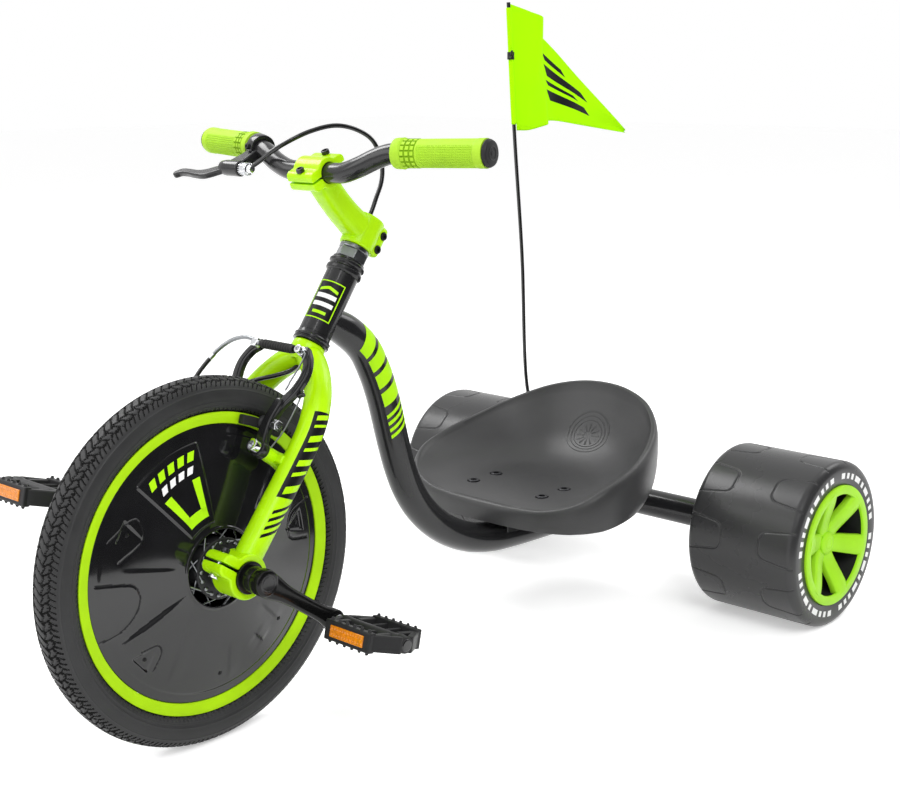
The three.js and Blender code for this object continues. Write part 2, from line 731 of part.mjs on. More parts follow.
function fork() {
  const steerer = rodZ(steererRadius, crownTop - crownHeight, clampTop, midSides);
  const crown = turnedZ([
    [0, crownTop - crownHeight], [crownRadius - crownBevel, crownTop - crownHeight],
    [crownRadius, crownTop - crownHeight / 2], [crownRadius - crownBevel / 2, crownTop], [0, crownTop],
  ]);
  const left = forkLeg();
  const legs = [...left, ...left.map(mirroredY)];
  const cuts = forkLegCuts();
  const bore = rodZ(steererBore, crownTop - 3 * crownHeight, clampTop + overrun, midSides);
  return cut(joined(steerer, crown, ...legs), bore, ...cuts, ...cuts.map(mirroredY));
}

piece(steering, 'fork', fork(), limePaint());

// Stem and its faceplate; the face points forward and up at faceAngle
const stemClampRadius = 19.5;
const stemWidth = 32;
const neckShare = 0.42;
const neckRise = 5;
const neckHalfHeights = [16, 15, 14];
const barX = 94.9;
const barZ = 112.2;
const barRadius = 11.1;
const barClampRadius = 17;
const barClampWidth = 40;
const faceAngle = THREE.MathUtils.degToRad(29);
const faceSlit = 2.4;
const faceLugReach = 26;
const faceLugWidth = 16;
const faceLugDepth = 11;
const faceBoltReach = 20.5;
const faceBoltRadius = 2.5;
const faceBoltHead = 4.5;
const faceBoltLength = 20;
const stemLugReach = 25;
const stemLugWidth = 22;

// Turns a shape built round the bar's axis, facing +X, to the stem's face
function toFace(geometry) {
  return geometry.rotateY(-faceAngle).translate(barX, 0, barZ);
}

function stem() {
  const clamp = rodZ(stemClampRadius, clampBottom, clampTop, midSides);
  const lugHalf = stemLugWidth / 2;
  const lug = block(-stemLugReach, 0, -lugHalf, lugHalf, clampBottom + gap, clampTop - gap);
  const middle = (clampBottom + clampTop) / 2;
  const neckLine = [[0, middle], [barX * neckShare, middle + neckRise], [barX, barZ]];
  const neckShape = chainShape(neckLine, neckHalfHeights);
  const neck = plateXZ(neckShape, -stemWidth / 2, stemWidth / 2);
  const socket = rodY(barClampRadius, -barClampWidth / 2, barClampWidth / 2, midSides).translate(barX, 0, barZ);
  const ears = toFace(block(-faceLugDepth, -faceSlit / 2, -faceLugWidth / 2, faceLugWidth / 2,
    -faceLugReach, faceLugReach));
  const steererHole = rodZ(cupBore, clampBottom - overrun, clampTop + overrun, midSides);
  const barClear = rodY(barRadius + gap, -barClampWidth, barClampWidth, midSides).translate(barX, 0, barZ);
  const faceClear = toFace(block(-faceSlit / 2, 2 * faceLugReach, -barClampWidth, barClampWidth,
    -2 * faceLugReach, 2 * faceLugReach));
  const rearSlit = block(-2 * stemLugReach, 0, -slit / 2, slit / 2, clampBottom - overrun, clampTop + overrun);
  const boltHoles = [-1, 1].map((end) => toFace(rodX(faceBoltRadius + gap, -faceBoltLength, overrun)
    .translate(0, 0, end * faceBoltReach)));
  return cut(joined(clamp, lug, neck, socket, ears), steererHole, barClear, faceClear, rearSlit, ...boltHoles);
}

function faceplate() {
  const shell = toFace(rodY(barClampRadius, -barClampWidth / 2, barClampWidth / 2, midSides));
  const ears = toFace(block(faceSlit / 2, faceLugDepth, -faceLugWidth / 2, faceLugWidth / 2,
    -faceLugReach, faceLugReach));
  const barClear = toFace(rodY(barRadius + gap, -barClampWidth, barClampWidth, midSides));
  const behind = toFace(block(-2 * faceLugReach, faceSlit / 2, -barClampWidth, barClampWidth,
    -2 * faceLugReach, 2 * faceLugReach));
  const boltHoles = [-1, 1].map((end) => toFace(rodX(faceBoltRadius + gap, -overrun, 2 * faceLugDepth)
    .translate(0, 0, end * faceBoltReach)));
  return cut(joined(shell, ears), barClear, behind, ...boltHoles);
}

function faceBolt(end) {
  const headStart = faceLugDepth + gap;
  const bolt = joined(
    rodX(faceBoltRadius, headStart - faceBoltLength, headStart + gap),
    rodX(faceBoltHead, headStart, headStart + faceBoltHead),
  );
  return toFace(bolt.translate(0, 0, end * faceBoltReach));
}

piece(steering, 'stem', stem(), limePaint());
piece(steering, 'stem_faceplate', faceplate(), limePaint());
piece(steering, 'faceplate_bolt_upper', faceBolt(1), darkSteel());
piece(steering, 'faceplate_bolt_lower', faceBolt(-1), darkSteel());

// Handlebar, grips and their end caps
const barHalf = 217;
const barRise = 39.8;
const barSweep = 10.9;
// The bar's middle line as shares of its sweep back, half width and rise
const barShares = [
  [0, 0, 0], [0, 0.111, 0], [-0.147, 0.203, 0.01], [-0.4, 0.304, 0.171], [-0.56, 0.406, 0.435],
  [-0.5229, 0.4747, 0.5829], [-0.34, 0.544, 0.653], [1, 1, 1],
];
const perchIndex = 5;
const barLine = barShares.map(([back, out, up]) => [barX - back * barSweep, out * barHalf, barZ + up * barRise]);
const barRoute = barLine.slice(0, -1);
const barEnd = barLine.at(-1);
const gripInner = 112;
const gripRadius = 15;
const gripCollar = 16.2;
const gripCollarLength = 9;
const gripEdge = 1;
const gripClear = 0.8;
const capRadius = 14.2;
const capLength = 6;

const barFrom = new THREE.Vector3(...barRoute.at(-1));
const barTo = new THREE.Vector3(...barEnd);
const barRun = barTo.clone().sub(barFrom).normalize();

function handlebarShape(radius) {
  const half = [...barRoute, barFrom.clone().lerp(barTo, 0.5).toArray(), barEnd];
  const other = half.slice(1).reverse().map(([x, y, z]) => [x, -y, z]);
  return bentBar([...other, ...half], radius, smallSides, barSteps);
}

// Places a solid turned about Y, with y measured from the bar's outer end, on the left bar end
function onBarEnd(geometry) {
  const turn = new THREE.Quaternion().setFromUnitVectors(new THREE.Vector3(0, 1, 0), barRun);
  return geometry.applyQuaternion(turn).translate(...barEnd);
}

const gripLength = (barTo.y - gripInner) / barRun.y;

function grip() {
  const bore = barRadius + gripClear;
  return onBarEnd(turned([
    [bore, -gripLength], [gripCollar - gripEdge, -gripLength], [gripCollar, -gripLength + gripEdge],
    [gripCollar, -gripLength + gripCollarLength], [gripRadius, -gripLength + gripCollarLength + gripEdge],
    [gripRadius, 0], [bore, 0],
  ]));
}

function gripCap() {
  return onBarEnd(turned([
    [0, gap], [capRadius, gap], [capRadius, capLength / 2], [capRadius - capLength / 3, capLength],
    [0, capLength],
  ]));
}

piece(steering, 'handlebar', handlebarShape(barRadius), blackPaint());
for (const [side, place] of [['left', (g) => g], ['right', mirroredY]]) {
  piece(steering, `grip_${side}`, place(grip()), limeRubber());
  piece(steering, `grip_cap_${side}`, place(gripCap()), blackPlastic());
}

// Brake lever on the right bar: drawn in its own plane, x away from the bar and y outboard
const perch = barRoute[perchIndex];
const leverPitch = THREE.MathUtils.degToRad(68);
const perchRadius = 15.5;
const perchHalf = 6.5;
const leverPivot = [41, 19];
const leverPinRadius = 2.5;
const leverThick = 7;
const perchThick = 12;
const leverClear = 1.5;
const leverPull = THREE.MathUtils.degToRad(20);
const bladeDepth = 16;
const bladeLength = 73;
const bladeHalf = 6.5;
// The blade from its pivot to its tip, and its half widths
const bladeShares = [
  [0, 0], [0.375, 0.151], [0.781, 0.329], [0.906, 0.521], [0.688, 0.753], [0.719, 0.918], [1, 1],
];
const bladeHalfShares = [0.846, 1, 1, 0.769, 0.692, 0.692, 0.615];
const bladePoints = bladeShares.map(([away, out]) => [
  leverPivot[0] + away * bladeDepth, leverPivot[1] + out * bladeLength,
]);
const bladeHalfWidths = bladeHalfShares.map((share) => share * bladeHalf);
const perchMostHalf = 12;
// The bracket's arm as shares of the pivot's place
const perchShares = [[0.244, -0.053], [0.585, 0.105], [0.878, 0.421]];
const perchHalfShares = [0.5, 0.75, 1];
const perchPoints = perchShares.map(([away, out]) => [away * leverPivot[0], out * leverPivot[1]]);
const perchHalfWidths = perchHalfShares.map((share) => share * perchMostHalf);
const leverBarrelRadius = 9;
const leverBarrelEnds = [-7, 27];
const leverBarrelX = 40;
const leverBayPoints = 4;
const pullShares = [0, 0.35, 0.7, 1];

// From the lever's plane to the steering group: its x tips forward and down, its y runs outboard
function onLever(geometry) {
  const [x, y, z] = perch;
  return outward(geometry.scale(1, -1, 1).rotateY(leverPitch).translate(x, -y, z));
}

function flatChain(points, halfWidths, thick) {
  return new THREE.ExtrudeGeometry(chainShape(points, halfWidths), { depth: thick, bevelEnabled: false })
    .translate(0, 0, -thick / 2);
}

// The clamp ring round the bar, square to the bar's own slope
function perchRing() {
  const [before, after] = [perchIndex - 1, perchIndex + 1].map((i) => new THREE.Vector3(...barRoute[i]));
  const run = after.sub(before).normalize();
  const turn = new THREE.Quaternion().setFromUnitVectors(new THREE.Vector3(0, 1, 0), run);
  return mirroredY(rodY(perchRadius, -perchHalf, perchHalf, someSides).applyQuaternion(turn).translate(...perch));
}

function leverBody() {
  const [inner, outer] = leverBarrelEnds;
  const arm = onLever(flatChain(perchPoints, perchHalfWidths, perchThick));
  const tube = onLever(rodY(leverBarrelRadius, inner, outer, someSides).translate(leverBarrelX, 0, 0));
  const barClear = handlebarShape(barRadius + gap);
  const baySides = bladeHalfWidths.slice(0, leverBayPoints).map((half) => half + leverClear);
  const bayPoints = bladePoints.slice(0, leverBayPoints);
  const sweeps = pullShares.map((share) => onLever(flatChain(bayPoints, baySides, leverThick + 2 * gap)
    .translate(-leverPivot[0], -leverPivot[1], 0).rotateZ(share * leverPull).translate(...leverPivot, 0)));
  const bayHalf = leverThick / 2 + gap;
  const pivotBay = onLever(rodZ(baySides[0] + leverClear, -bayHalf, bayHalf, someSides)
    .translate(...leverPivot, 0));
  const pinHalf = perchThick / 2 - gap;
  const pin = onLever(rodZ(leverPinRadius, -pinHalf, pinHalf).translate(...leverPivot, 0));
  return joined(cut(joined(perchRing(), arm, tube), barClear, ...sweeps, pivotBay), pin);
}

function leverBlade() {
  const blade = flatChain(bladePoints, bladeHalfWidths, leverThick);
  const eye = rodZ(bladeHalfWidths[1], -leverThick / 2, leverThick / 2, someSides).translate(...leverPivot, 0);
  const pinHole = rodZ(leverPinRadius + gap, -leverThick, leverThick).translate(...leverPivot, 0);
  return onLever(cut(joined(blade, eye), pinHole));
}

piece(steering, 'brake_lever_body', leverBody(), steel());
piece(steering, 'brake_lever', leverBlade(), blackPaint());

// Cable housings: from the lever over the stem into the steerer, and from the steerer to the noodle
const housingRadius = 2.6;
const housingSides = 8;
const upperSteps = 22;
const lowerSteps = 14;
const upperRoute = [
  [115.6, -95, 98.3], [115.4, -86, 99.6], [115.5, -73, 109], [117, -61, 119.5], [114.3, -48, 134],
  [101.2, -34, 158.7],
  [78.5, -26, 181.6], [52.7, -20, 192.6], [30.3, -15, 193.2], [9.4, -10, 178], [1.9, -6, 160], [1.6, -2, 137.5],
  [0.8, 0, 117.6], [0.8, 0, 80],
];
const lowerTop = [[0, 0, -30], [0, 0, -68], [3, -5, -83], [10, -16, -95], [19, -33, -108], [22, -56, -122]];
// The rest of the lower housing, with its heights measured from the noodle's
const lowerLoop = [
  [25, -80, -67], [33, -97, -77], [39, -105, -72], [41, -103.5, -53], [40.7, -99, -36], [40.5, -95.8, -28.6],
];
const armReach = 116;
const noodleDrop = 2;
const noodleZ = pivotZ + armReach - noodleDrop;
const fromNoodle = ([x, y, z]) => [x, y, noodleZ + z];
const lowerRoute = [...lowerTop, ...lowerLoop.map(fromNoodle)];

const upperHousing = bentBar(upperRoute, housingRadius, housingSides, upperSteps);
const lowerHousing = bentBar(lowerRoute, housingRadius, housingSides, lowerSteps);
piece(steering, 'cable_housing_upper', upperHousing, blackPlastic());
piece(steering, 'cable_housing_lower', lowerHousing, blackPlastic());

// Brake arms, pads and pivots; the left ones are drawn and the right ones mirrored
const armBack = bossReach + gap;
const armFront = 40;
const armRingRadius = 9.5;
const armHalf = 6.5;
const armRise = 53;
// The arms' middle lines as shares of the pivot's distance out and of the arm's height
const lowerArmShares = [[0.975, 0], [0.838, 0.547], [0.925, 1]];
const lowerHalfShares = [1.15, 1, 1];
const upperArmBack = 28.5;
const upperArmFront = 35.7;
const upperArmShares = [[0.875, 0.336], [0.95, 0.457], [1.225, 0.629], [1.3, 0.793], [1.15, 0.922], [0.925, 1]];
const upperHalfShares = [0.92, 1, 1, 1, 1, 1];
const armChain = (shares, halfShares, height) => chainShape(
  shares.map(([out, up]) => [out * pivotY, up * height]), halfShares.map((share) => share * armHalf),
);
const padRimInset = 1.3;
const padInnerRadius = rimInner + padRimInset;
const padOuterRadius = rimOuter - padRimInset;
const padClear = 1.4;
const padFace = rimHalf + padClear;
const padThick = 8.3;
const padStart = 5;
const padEnd = 62;
const padStudX = 35;
const padStudRise = 29;
const padStudZ = pivotZ + padStudRise;
const padStudRadius = 3;
const padStudEnd = 51;
const padNutRadius = 6;
const padNutHeight = 7;
const boltHeadStart = armFront + gap;
const pivotHeadRadius = 8;
const pivotHeadHeight = 10;

// The left arm also carries the boss that clamps the cable's end
function brakeArm(clampsCable) {
  const lowerShape = armChain(lowerArmShares, lowerHalfShares, armRise);
  const lower = plateYZ(lowerShape, armBack, armFront).translate(0, 0, pivotZ);
  const upperShape = armChain(upperArmShares, upperHalfShares, armReach);
  const upper = plateYZ(upperShape, upperArmBack, upperArmFront).translate(0, 0, pivotZ);
  const ring = rodX(armRingRadius, armBack, armFront, someSides).translate(0, pivotY, pivotZ);
  const studClear = rodX(studRadius + gap, 0, studReach + overrun).translate(0, pivotY, pivotZ);
  const padClear = rodY(padStudRadius + gap, 0, 2 * padStudEnd).translate(padStudX, 0, padStudZ);
  const anchorTip = noodleX - wireRadius - gap;
  const anchor = rodX(anchorRadius, upperArmBack, anchorTip, someSides).translate(0, anchorY, noodleZ);
  const body = clampsCable ? joined(ring, lower, upper, anchor) : joined(ring, lower, upper);
  return cut(body, studClear, padClear);
}

function brakePad() {
  const pad = new THREE.Shape();
  const start = Math.asin((padStart - forkOffset) / padOuterRadius);
  const end = Math.asin((padEnd - forkOffset) / padOuterRadius);
  pad.absarc(0, 0, padOuterRadius, quarter - start, quarter - end, true);
  pad.absarc(0, 0, padInnerRadius, quarter - end, quarter - start, false);
  const shoe = plateXZ(pad, padFace, padFace + padThick).translate(forkOffset, 0, axleZ);
  const stud = rodY(padStudRadius, padFace + padThick - gap, padStudEnd).translate(padStudX, 0, padStudZ);
  const nut = moved(rodY(padNutRadius, padStudEnd - padNutHeight, padStudEnd - gap, hexSides), padStudX, 0, padStudZ);
  return joined(shoe, stud, nut);
}

function pivotBolt() {
  const shank = rodX(boltShank, studReach - boltShankLength + gap, boltHeadStart + gap);
  const boltHead = rodX(pivotHeadRadius, boltHeadStart, boltHeadStart + pivotHeadHeight);
  return joined(shank, boltHead).translate(0, pivotY, pivotZ);
}

// Noodle on the right arm, ribbed boot between the arms, and the cable's end clamped on the left arm.
// The noodle's nose and the wire slide into the boot's two ends as the arms close.
const noodleX = 40.5;
const noodleRadius = 2.4;
const noodleSteps = 10;
const noseRadius = 2.1;
const linkHalf = 5;
const noodleRoute = [
  [noodleX, -31, 0], [noodleX, -42, 3], [noodleX, -58, 3.5], [noodleX, -76, -3], [noodleX, -90, -17],
  [noodleX, -95.5, -28],
].map(fromNoodle);
const bootStart = -26;
const bootEnd = 27.3;
const bootRadius = 5.2;
const bootGroove = 4.2;
const bootBore = 3.2;
const bootRibs = 5;
const noseEnd = -20;
const wireRadius = 0.9;
const wireSteps = 10;
const anchorRadius = 4.5;
const anchorY = upperArmShares.at(-1)[0] * pivotY;
const wireRoute = [
  [noodleX, 20, 0], [noodleX, 38, 0], [noodleX, 46, -3], [41.1, 47, -19], [41.5, 44, -39],
].map(fromNoodle);

function noodle() {
  const [, linkY] = noodleRoute[0];
  const linkBack = upperArmFront + gap;
  const link = block(linkBack, noodleX, linkY - 2 * linkHalf, linkY, noodleZ - linkHalf, noodleZ + linkHalf);
  const tube = bentBar(noodleRoute, noodleRadius, housingSides, noodleSteps);
  const nose = rodY(noseRadius, linkY - gap, noseEnd, smallSides).translate(noodleX, 0, noodleZ);
  return joined(tube, nose, link);
}

function boot() {
  const rib = (bootEnd - bootStart) / bootRibs;
  const ribs = Array.from({ length: bootRibs }, (_, i) => [
    [bootGroove, bootStart + i * rib], [bootRadius, bootStart + (i + 1 / 3) * rib],
    [bootRadius, bootStart + (i + 2 / 3) * rib],
  ]).flat();
  const profile = [[bootBore, bootStart], ...ribs, [bootGroove, bootEnd], [bootBore, bootEnd]];
  return turned(profile, smallSides).translate(noodleX, 0, noodleZ);
}

for (const [side, place] of [['left', (g) => g], ['right', mirroredY]]) {
  piece(steering, `brake_arm_${side}`, place(brakeArm(side === 'left')), steel());
  piece(steering, `brake_pad_${side}`, place(brakePad()), rubber());
  piece(steering, `brake_pivot_bolt_${side}`, place(pivotBolt()), steel());
}

piece(steering, 'brake_noodle', noodle(), steel());
piece(steering, 'brake_boot', boot(), rubber());
piece(steering, 'brake_wire', bentBar(wireRoute, wireRadius, hexSides, wireSteps), steel());

// Front wheel, built round its own axle
const axle = new THREE.Group();
axle.position.set(forkOffset, 0, axleZ);
steering.add(axle);
const rimWall = 2.2;
const rimWell = 153.5;
const tyreHalf = 21.5;
const tyreWall = 3;
const beadDepth = 6;
const beadInset = 2;
const beadRise = 1.5;
const wallRise = 5;
const wallInset = 3;
const sideRise = 15;
const shoulderDrop = 8;
const shoulderInset = 4;
const crownDrop = 2.6;
const crownShare = 0.52;
const hubFlangeY = 34;
const hubFlangeRadius = 33;
const hubFlangeThick = 3;
const hubBarrelRadius = 15;
const hubEndRadius = 17;
const hubClear = 1;
const hubEnd = legY - clampHalfWidth - hubClear;
const spindleRadius = 8;
const spokeHeads = 28;
const spokesPerSide = 10;
const spokeRadius = 1.1;
const spokeHeadY = hubFlangeY - hubFlangeThick / 2;
const spokeRimY = 4;
const spokeSweep = THREE.MathUtils.degToRad(74);
const coverOpening = 45;
const coverOpeningY = 31;
const coverEdgeY = rimInnerHalf;
const coverWall = 1.8;
const coverLip = 2.5;
const coverBulge = 1.5;

function tyre() {
  const bead = rimOuter - beadDepth;
  const beadY = rimInnerHalf - beadInset;
  const shoulder = frontRadius - shoulderDrop;
  const outer = [
    [bead, beadY], [rimOuter + beadRise, rimHalf - rimWall - gap], [rimOuter + wallRise, tyreHalf - wallInset],
    [rimOuter + sideRise, tyreHalf], [shoulder, tyreHalf - shoulderInset],
    [frontRadius - crownDrop, tyreHalf * crownShare],
  ];
  const inner = [[frontRadius - tyreWall, 0], [rimOuter + sideRise, tyreHalf - tyreWall], [bead, beadY - tyreWall]];
  const flip = ([r, y]) => [r, -y];
  const outerLoop = [...outer, [frontRadius, 0], ...outer.map(flip).reverse()];
  const innerLoop = [...inner.slice(1).map(flip).reverse(), ...inner];
  return turned([...outerLoop, ...innerLoop], tyreSides).rotateY(quarter - headAngle);
}

function rim() {
  const flange = rimHalf - rimWall;
  const well = rimInnerHalf - rimWall;
  return turned([
    [rimInner, -rimInnerHalf], [rimOuter, -rimHalf], [rimOuter, -flange], [rimWell, -well],
    [rimWell, well], [rimOuter, flange], [rimOuter, rimHalf], [rimInner, rimInnerHalf],
  ], wheelSides);
}

function spoke(side, index) {
  const headTurn = (index / spokesPerSide) * Math.PI * 2 + (side * Math.PI) / spokesPerSide / 2;
  const rimTurn = headTurn + (index % 2 === 0 ? spokeSweep : -spokeSweep);
  const reach = rimInner * Math.cos(Math.PI / wheelSides) - gap;
  const layer = index % 2 === 0 ? spokeRadius + gap : -spokeRadius - gap;
  const headY = side * (spokeHeadY + layer);
  const rimY = side * (spokeRimY + layer);
  const from = new THREE.Vector3(Math.cos(headTurn) * spokeHeads, headY, Math.sin(headTurn) * spokeHeads);
  const to = new THREE.Vector3(Math.cos(rimTurn) * reach, rimY, Math.sin(rimTurn) * reach);
  const run = to.clone().sub(from);
  const turn = new THREE.Quaternion().setFromUnitVectors(new THREE.Vector3(0, 1, 0), run.clone().normalize());
  const middle = from.clone().lerp(to, 0.5);
  return rodY(spokeRadius, -run.length() / 2, run.length() / 2, 3)
    .applyQuaternion(turn).translate(middle.x, middle.y, middle.z);
}

function hub() {
  const inside = hubFlangeY - hubFlangeThick;
  const bore = spindleRadius + gap;
  const half = [
    [hubBarrelRadius, inside - hubFlangeThick], [hubFlangeRadius, inside], [hubFlangeRadius, hubFlangeY],
    [hubEndRadius, hubFlangeY + hubFlangeThick / 2], [hubEndRadius, hubEnd], [bore, hubEnd],
  ];
  const shell = turned([...half, ...half.map(([r, y]) => [r, -y]).reverse()], someSides);
  const spokes = [-1, 1].flatMap((side) => Array.from({ length: spokesPerSide }, (_, i) => spoke(side, i)));
  return joined(shell, ...spokes);
}

function cover() {
  const edge = rimInner - gap;
  const slope = (coverOpeningY - coverEdgeY) / (edge - coverOpening);
  const middle = (edge + coverOpening) / 2;
  const middleY = coverEdgeY + slope * (edge - middle) + coverBulge;
  const lipTop = coverOpeningY + coverLip / 2;
  return turned([
    [coverOpening, coverOpeningY - coverWall], [coverOpening, lipTop],
    [coverOpening + coverLip, coverOpeningY - slope * coverLip], [middle, middleY],
    [edge, coverEdgeY], [edge, coverEdgeY - coverWall], [middle, middleY - coverWall],
  ], wheelSides);
}

piece(axle, 'front_tyre', tyre(), rubber());
piece(axle, 'front_rim', rim(), limePaint());
piece(axle, 'front_hub', hub(), blackPaint());
piece(axle, 'wheel_cover_left', cover(), blackPlastic());
piece(axle, 'wheel_cover_right', mirroredY(cover()), blackPlastic());

// Crankset: a straight spindle in two cups, with opposed crank arms
const hubCupGap = 1.5;
const cupInner = hubEnd + hubCupGap;
const cupFlangeStart = legY + clampHalfWidth + gap;
const cupFlangeLength = 14.7;
const cupFlangeEnd = cupFlangeStart + cupFlangeLength;
const cupFlangeRadius = 13.5;
const crankLength = 110;
const crankClear = 1;
const crankThick = 13.5;
const crankOffset = 3.5;
const crankTipThick = 13;
const spindleInset = 2;
const crankStart = cupFlangeEnd + crankClear;
const crankEnd = crankStart + crankThick;
const crankBossRadius = 14;
const crankTipRadius = 12;
const crankWaist = 9;
const crankTipStart = crankStart + crankOffset;
const crankTipEnd = crankTipStart + crankTipThick;
const barStartShare = 0.6;
const spindleEnd = crankEnd - spindleInset;
const pedalGap = 9;
const pedalWidth = 95;
const pedalPinInset = 8;
const pedalInner = crankTipEnd + pedalGap;
const pedalOuter = pedalInner + pedalWidth;
const pedalPinRadius = 5;
const pedalPinEnd = pedalOuter - pedalPinInset;

function spindleCup() {
  const bore = spindleRadius + gap;
  return turned([
    [bore, cupInner], [cupRadius, cupInner], [cupRadius, cupFlangeStart], [cupFlangeRadius, cupFlangeStart + gap],
    [cupFlangeRadius, cupFlangeEnd], [bore, cupFlangeEnd],
  ]);
}

function crankArm() {
  const boss = rodY(crankBossRadius, crankStart, crankEnd, midSides);
  const tip = moved(rodY(crankTipRadius, crankTipStart, crankTipEnd, midSides), -crankLength, 0, 0);
  const arm = new THREE.Shape();
  const near = crankBossRadius * barStartShare;
  const far = crankLength - crankTipRadius * barStartShare;
  [[-near, crankStart], [-far, crankTipStart], [-far, crankTipEnd], [-near, crankEnd]].forEach((corner, i) => {
    if (i === 0) arm.moveTo(...corner);
    else arm.lineTo(...corner);
  });
  arm.closePath();
  const bar = new THREE.ExtrudeGeometry(arm, { depth: 2 * crankWaist, bevelEnabled: false })
    .translate(0, 0, -crankWaist);
  const square = rodY(spindleRadius + gap, crankStart - overrun, spindleEnd + gap, midSides);
  const pinHole = moved(rodY(pedalPinRadius + gap, 0, 2 * crankTipEnd), -crankLength, 0, 0);
  return cut(joined(boss, tip, bar), square, pinHole);
}

function pedalPin() {
  return moved(rodY(pedalPinRadius, crankTipStart + gap, pedalPinEnd), -crankLength, 0, 0);
}

// The right crank is the left one turned half round, so that the two stand opposite
const halfTurn = (geometry) => geometry.clone().rotateZ(Math.PI);

piece(axle, 'crank_spindle', rodY(spindleRadius, -spindleEnd, spindleEnd, midSides), darkSteel());
for (const [side, place, opposite] of [['left', (g) => g, (g) => g], ['right', mirroredY, halfTurn]]) {
  piece(axle, `spindle_cup_${side}`, place(spindleCup()), blackPaint());
  piece(axle, `crank_arm_${side}`, opposite(crankArm()), blackPaint());
  piece(axle, `pedal_spindle_${side}`, opposite(pedalPin()), steel());
}

// Pedals, drawn round their own pins with y measured outboard
const pedalPitch = THREE.MathUtils.degToRad(23);
const railInset = 17;
const railOutset = 20;
const railIn = pedalInner + railInset;
const railOut = pedalOuter - railOutset;
const railReach = 38;
const pedalEndReach = 11;
const pedalHalfHeight = 10.5;
const railWidth = 9;
const pedalTubeRadius = 10.4;
const pedalWindowInset = 8;
const studPitch = 19;
const studRowShares = [-1.5, -0.5, 0.5, 1.5];
const studWide = 2.2;
const studTall = 3;
const studSides = 4;

function pedal() {
  const plan = new THREE.Shape();
  [
    [-pedalEndReach, pedalInner], [-railReach, railIn], [-railReach, railOut], [-pedalEndReach, pedalOuter],
    [pedalEndReach, pedalOuter], [railReach, railOut], [railReach, railIn], [pedalEndReach, pedalInner],
  ].forEach((corner, i) => {
    if (i === 0) plan.moveTo(...corner);
    else plan.lineTo(...corner);
  });
  plan.closePath();
  const slab = new THREE.ExtrudeGeometry(plan, { depth: 2 * pedalHalfHeight, bevelEnabled: false })
    .translate(0, 0, -pedalHalfHeight);
  const windows = [-1, 1].map((end) => {
    const near = end * (pedalTubeRadius + gap);
    const far = end * (railReach - railWidth);
    return block(Math.min(near, far), Math.max(near, far), railIn + pedalWindowInset / 2,
      railOut - pedalWindowInset / 2, -2 * pedalHalfHeight, 2 * pedalHalfHeight);
  });
  const bore = rodY(pedalPinRadius + gap, pedalInner - overrun, pedalPinEnd + gap);
  const middle = (railIn + railOut) / 2;
  const studs = [-1, 1].flatMap((end) => [-1, 1].flatMap((top) => studRowShares.map((row) => {
    const stud = new THREE.CylinderGeometry(studWide / 2, studWide, studTall, studSides);
    const upright = stud.rotateX(top * quarter);
    return upright.translate(end * (railReach - railWidth / 2), middle + row * studPitch,
      top * (pedalHalfHeight + studTall / 2 - gap));
  })));
  const frameOnly = cut(slab, ...windows, bore);
  return joined(frameOnly, ...studs);
}

for (const [side, place, end] of [['left', (g) => g, -1], ['right', mirroredY, 1]]) {
  const pedalGroup = new THREE.Group();
  pedalGroup.position.x = end * crankLength;
  pedalGroup.rotation.y = pedalPitch;
  axle.add(pedalGroup);
  piece(pedalGroup, `pedal_${side}`, place(pedal()), blackPlastic());
}

export default trike;
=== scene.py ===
"""Looks of the drift trike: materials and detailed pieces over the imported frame, in metres."""

import math

import bmesh
import bpy
from mathutils import Matrix, Vector

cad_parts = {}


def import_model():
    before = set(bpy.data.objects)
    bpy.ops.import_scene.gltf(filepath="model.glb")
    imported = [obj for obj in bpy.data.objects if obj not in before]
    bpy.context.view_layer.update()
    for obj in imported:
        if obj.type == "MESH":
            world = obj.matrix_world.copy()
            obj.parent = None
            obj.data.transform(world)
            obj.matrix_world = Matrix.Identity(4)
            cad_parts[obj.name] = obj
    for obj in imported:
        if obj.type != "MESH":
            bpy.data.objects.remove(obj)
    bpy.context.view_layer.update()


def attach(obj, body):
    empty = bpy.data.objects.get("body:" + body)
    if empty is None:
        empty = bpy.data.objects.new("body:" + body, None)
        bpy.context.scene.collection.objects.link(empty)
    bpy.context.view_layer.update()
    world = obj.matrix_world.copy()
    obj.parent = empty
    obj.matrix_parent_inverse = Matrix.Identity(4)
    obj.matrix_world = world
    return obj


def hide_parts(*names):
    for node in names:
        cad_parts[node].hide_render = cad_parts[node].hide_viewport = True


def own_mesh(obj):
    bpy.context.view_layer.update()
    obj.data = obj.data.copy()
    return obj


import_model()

# Places that the pieces are built round, repeated from the part's source
MIDDLE_X = 0.37475
HEAD_ANGLE = math.radians(54.5)
WHEELBASE = 0.748
FRONT_RADIUS = 0.1985
REAR_RADIUS = 0.108
FORK_LENGTH = 0.3132
FORK_OFFSET = 0.0073
CRANK_LENGTH = 0.110
PEDAL_PITCH = math.radians(23)
HEAD_X = WHEELBASE - FORK_OFFSET * math.sin(HEAD_ANGLE) - FORK_LENGTH * math.cos(HEAD_ANGLE)
HEAD_Z = FRONT_RADIUS - FORK_OFFSET * math.cos(HEAD_ANGLE) + FORK_LENGTH * math.sin(HEAD_ANGLE)

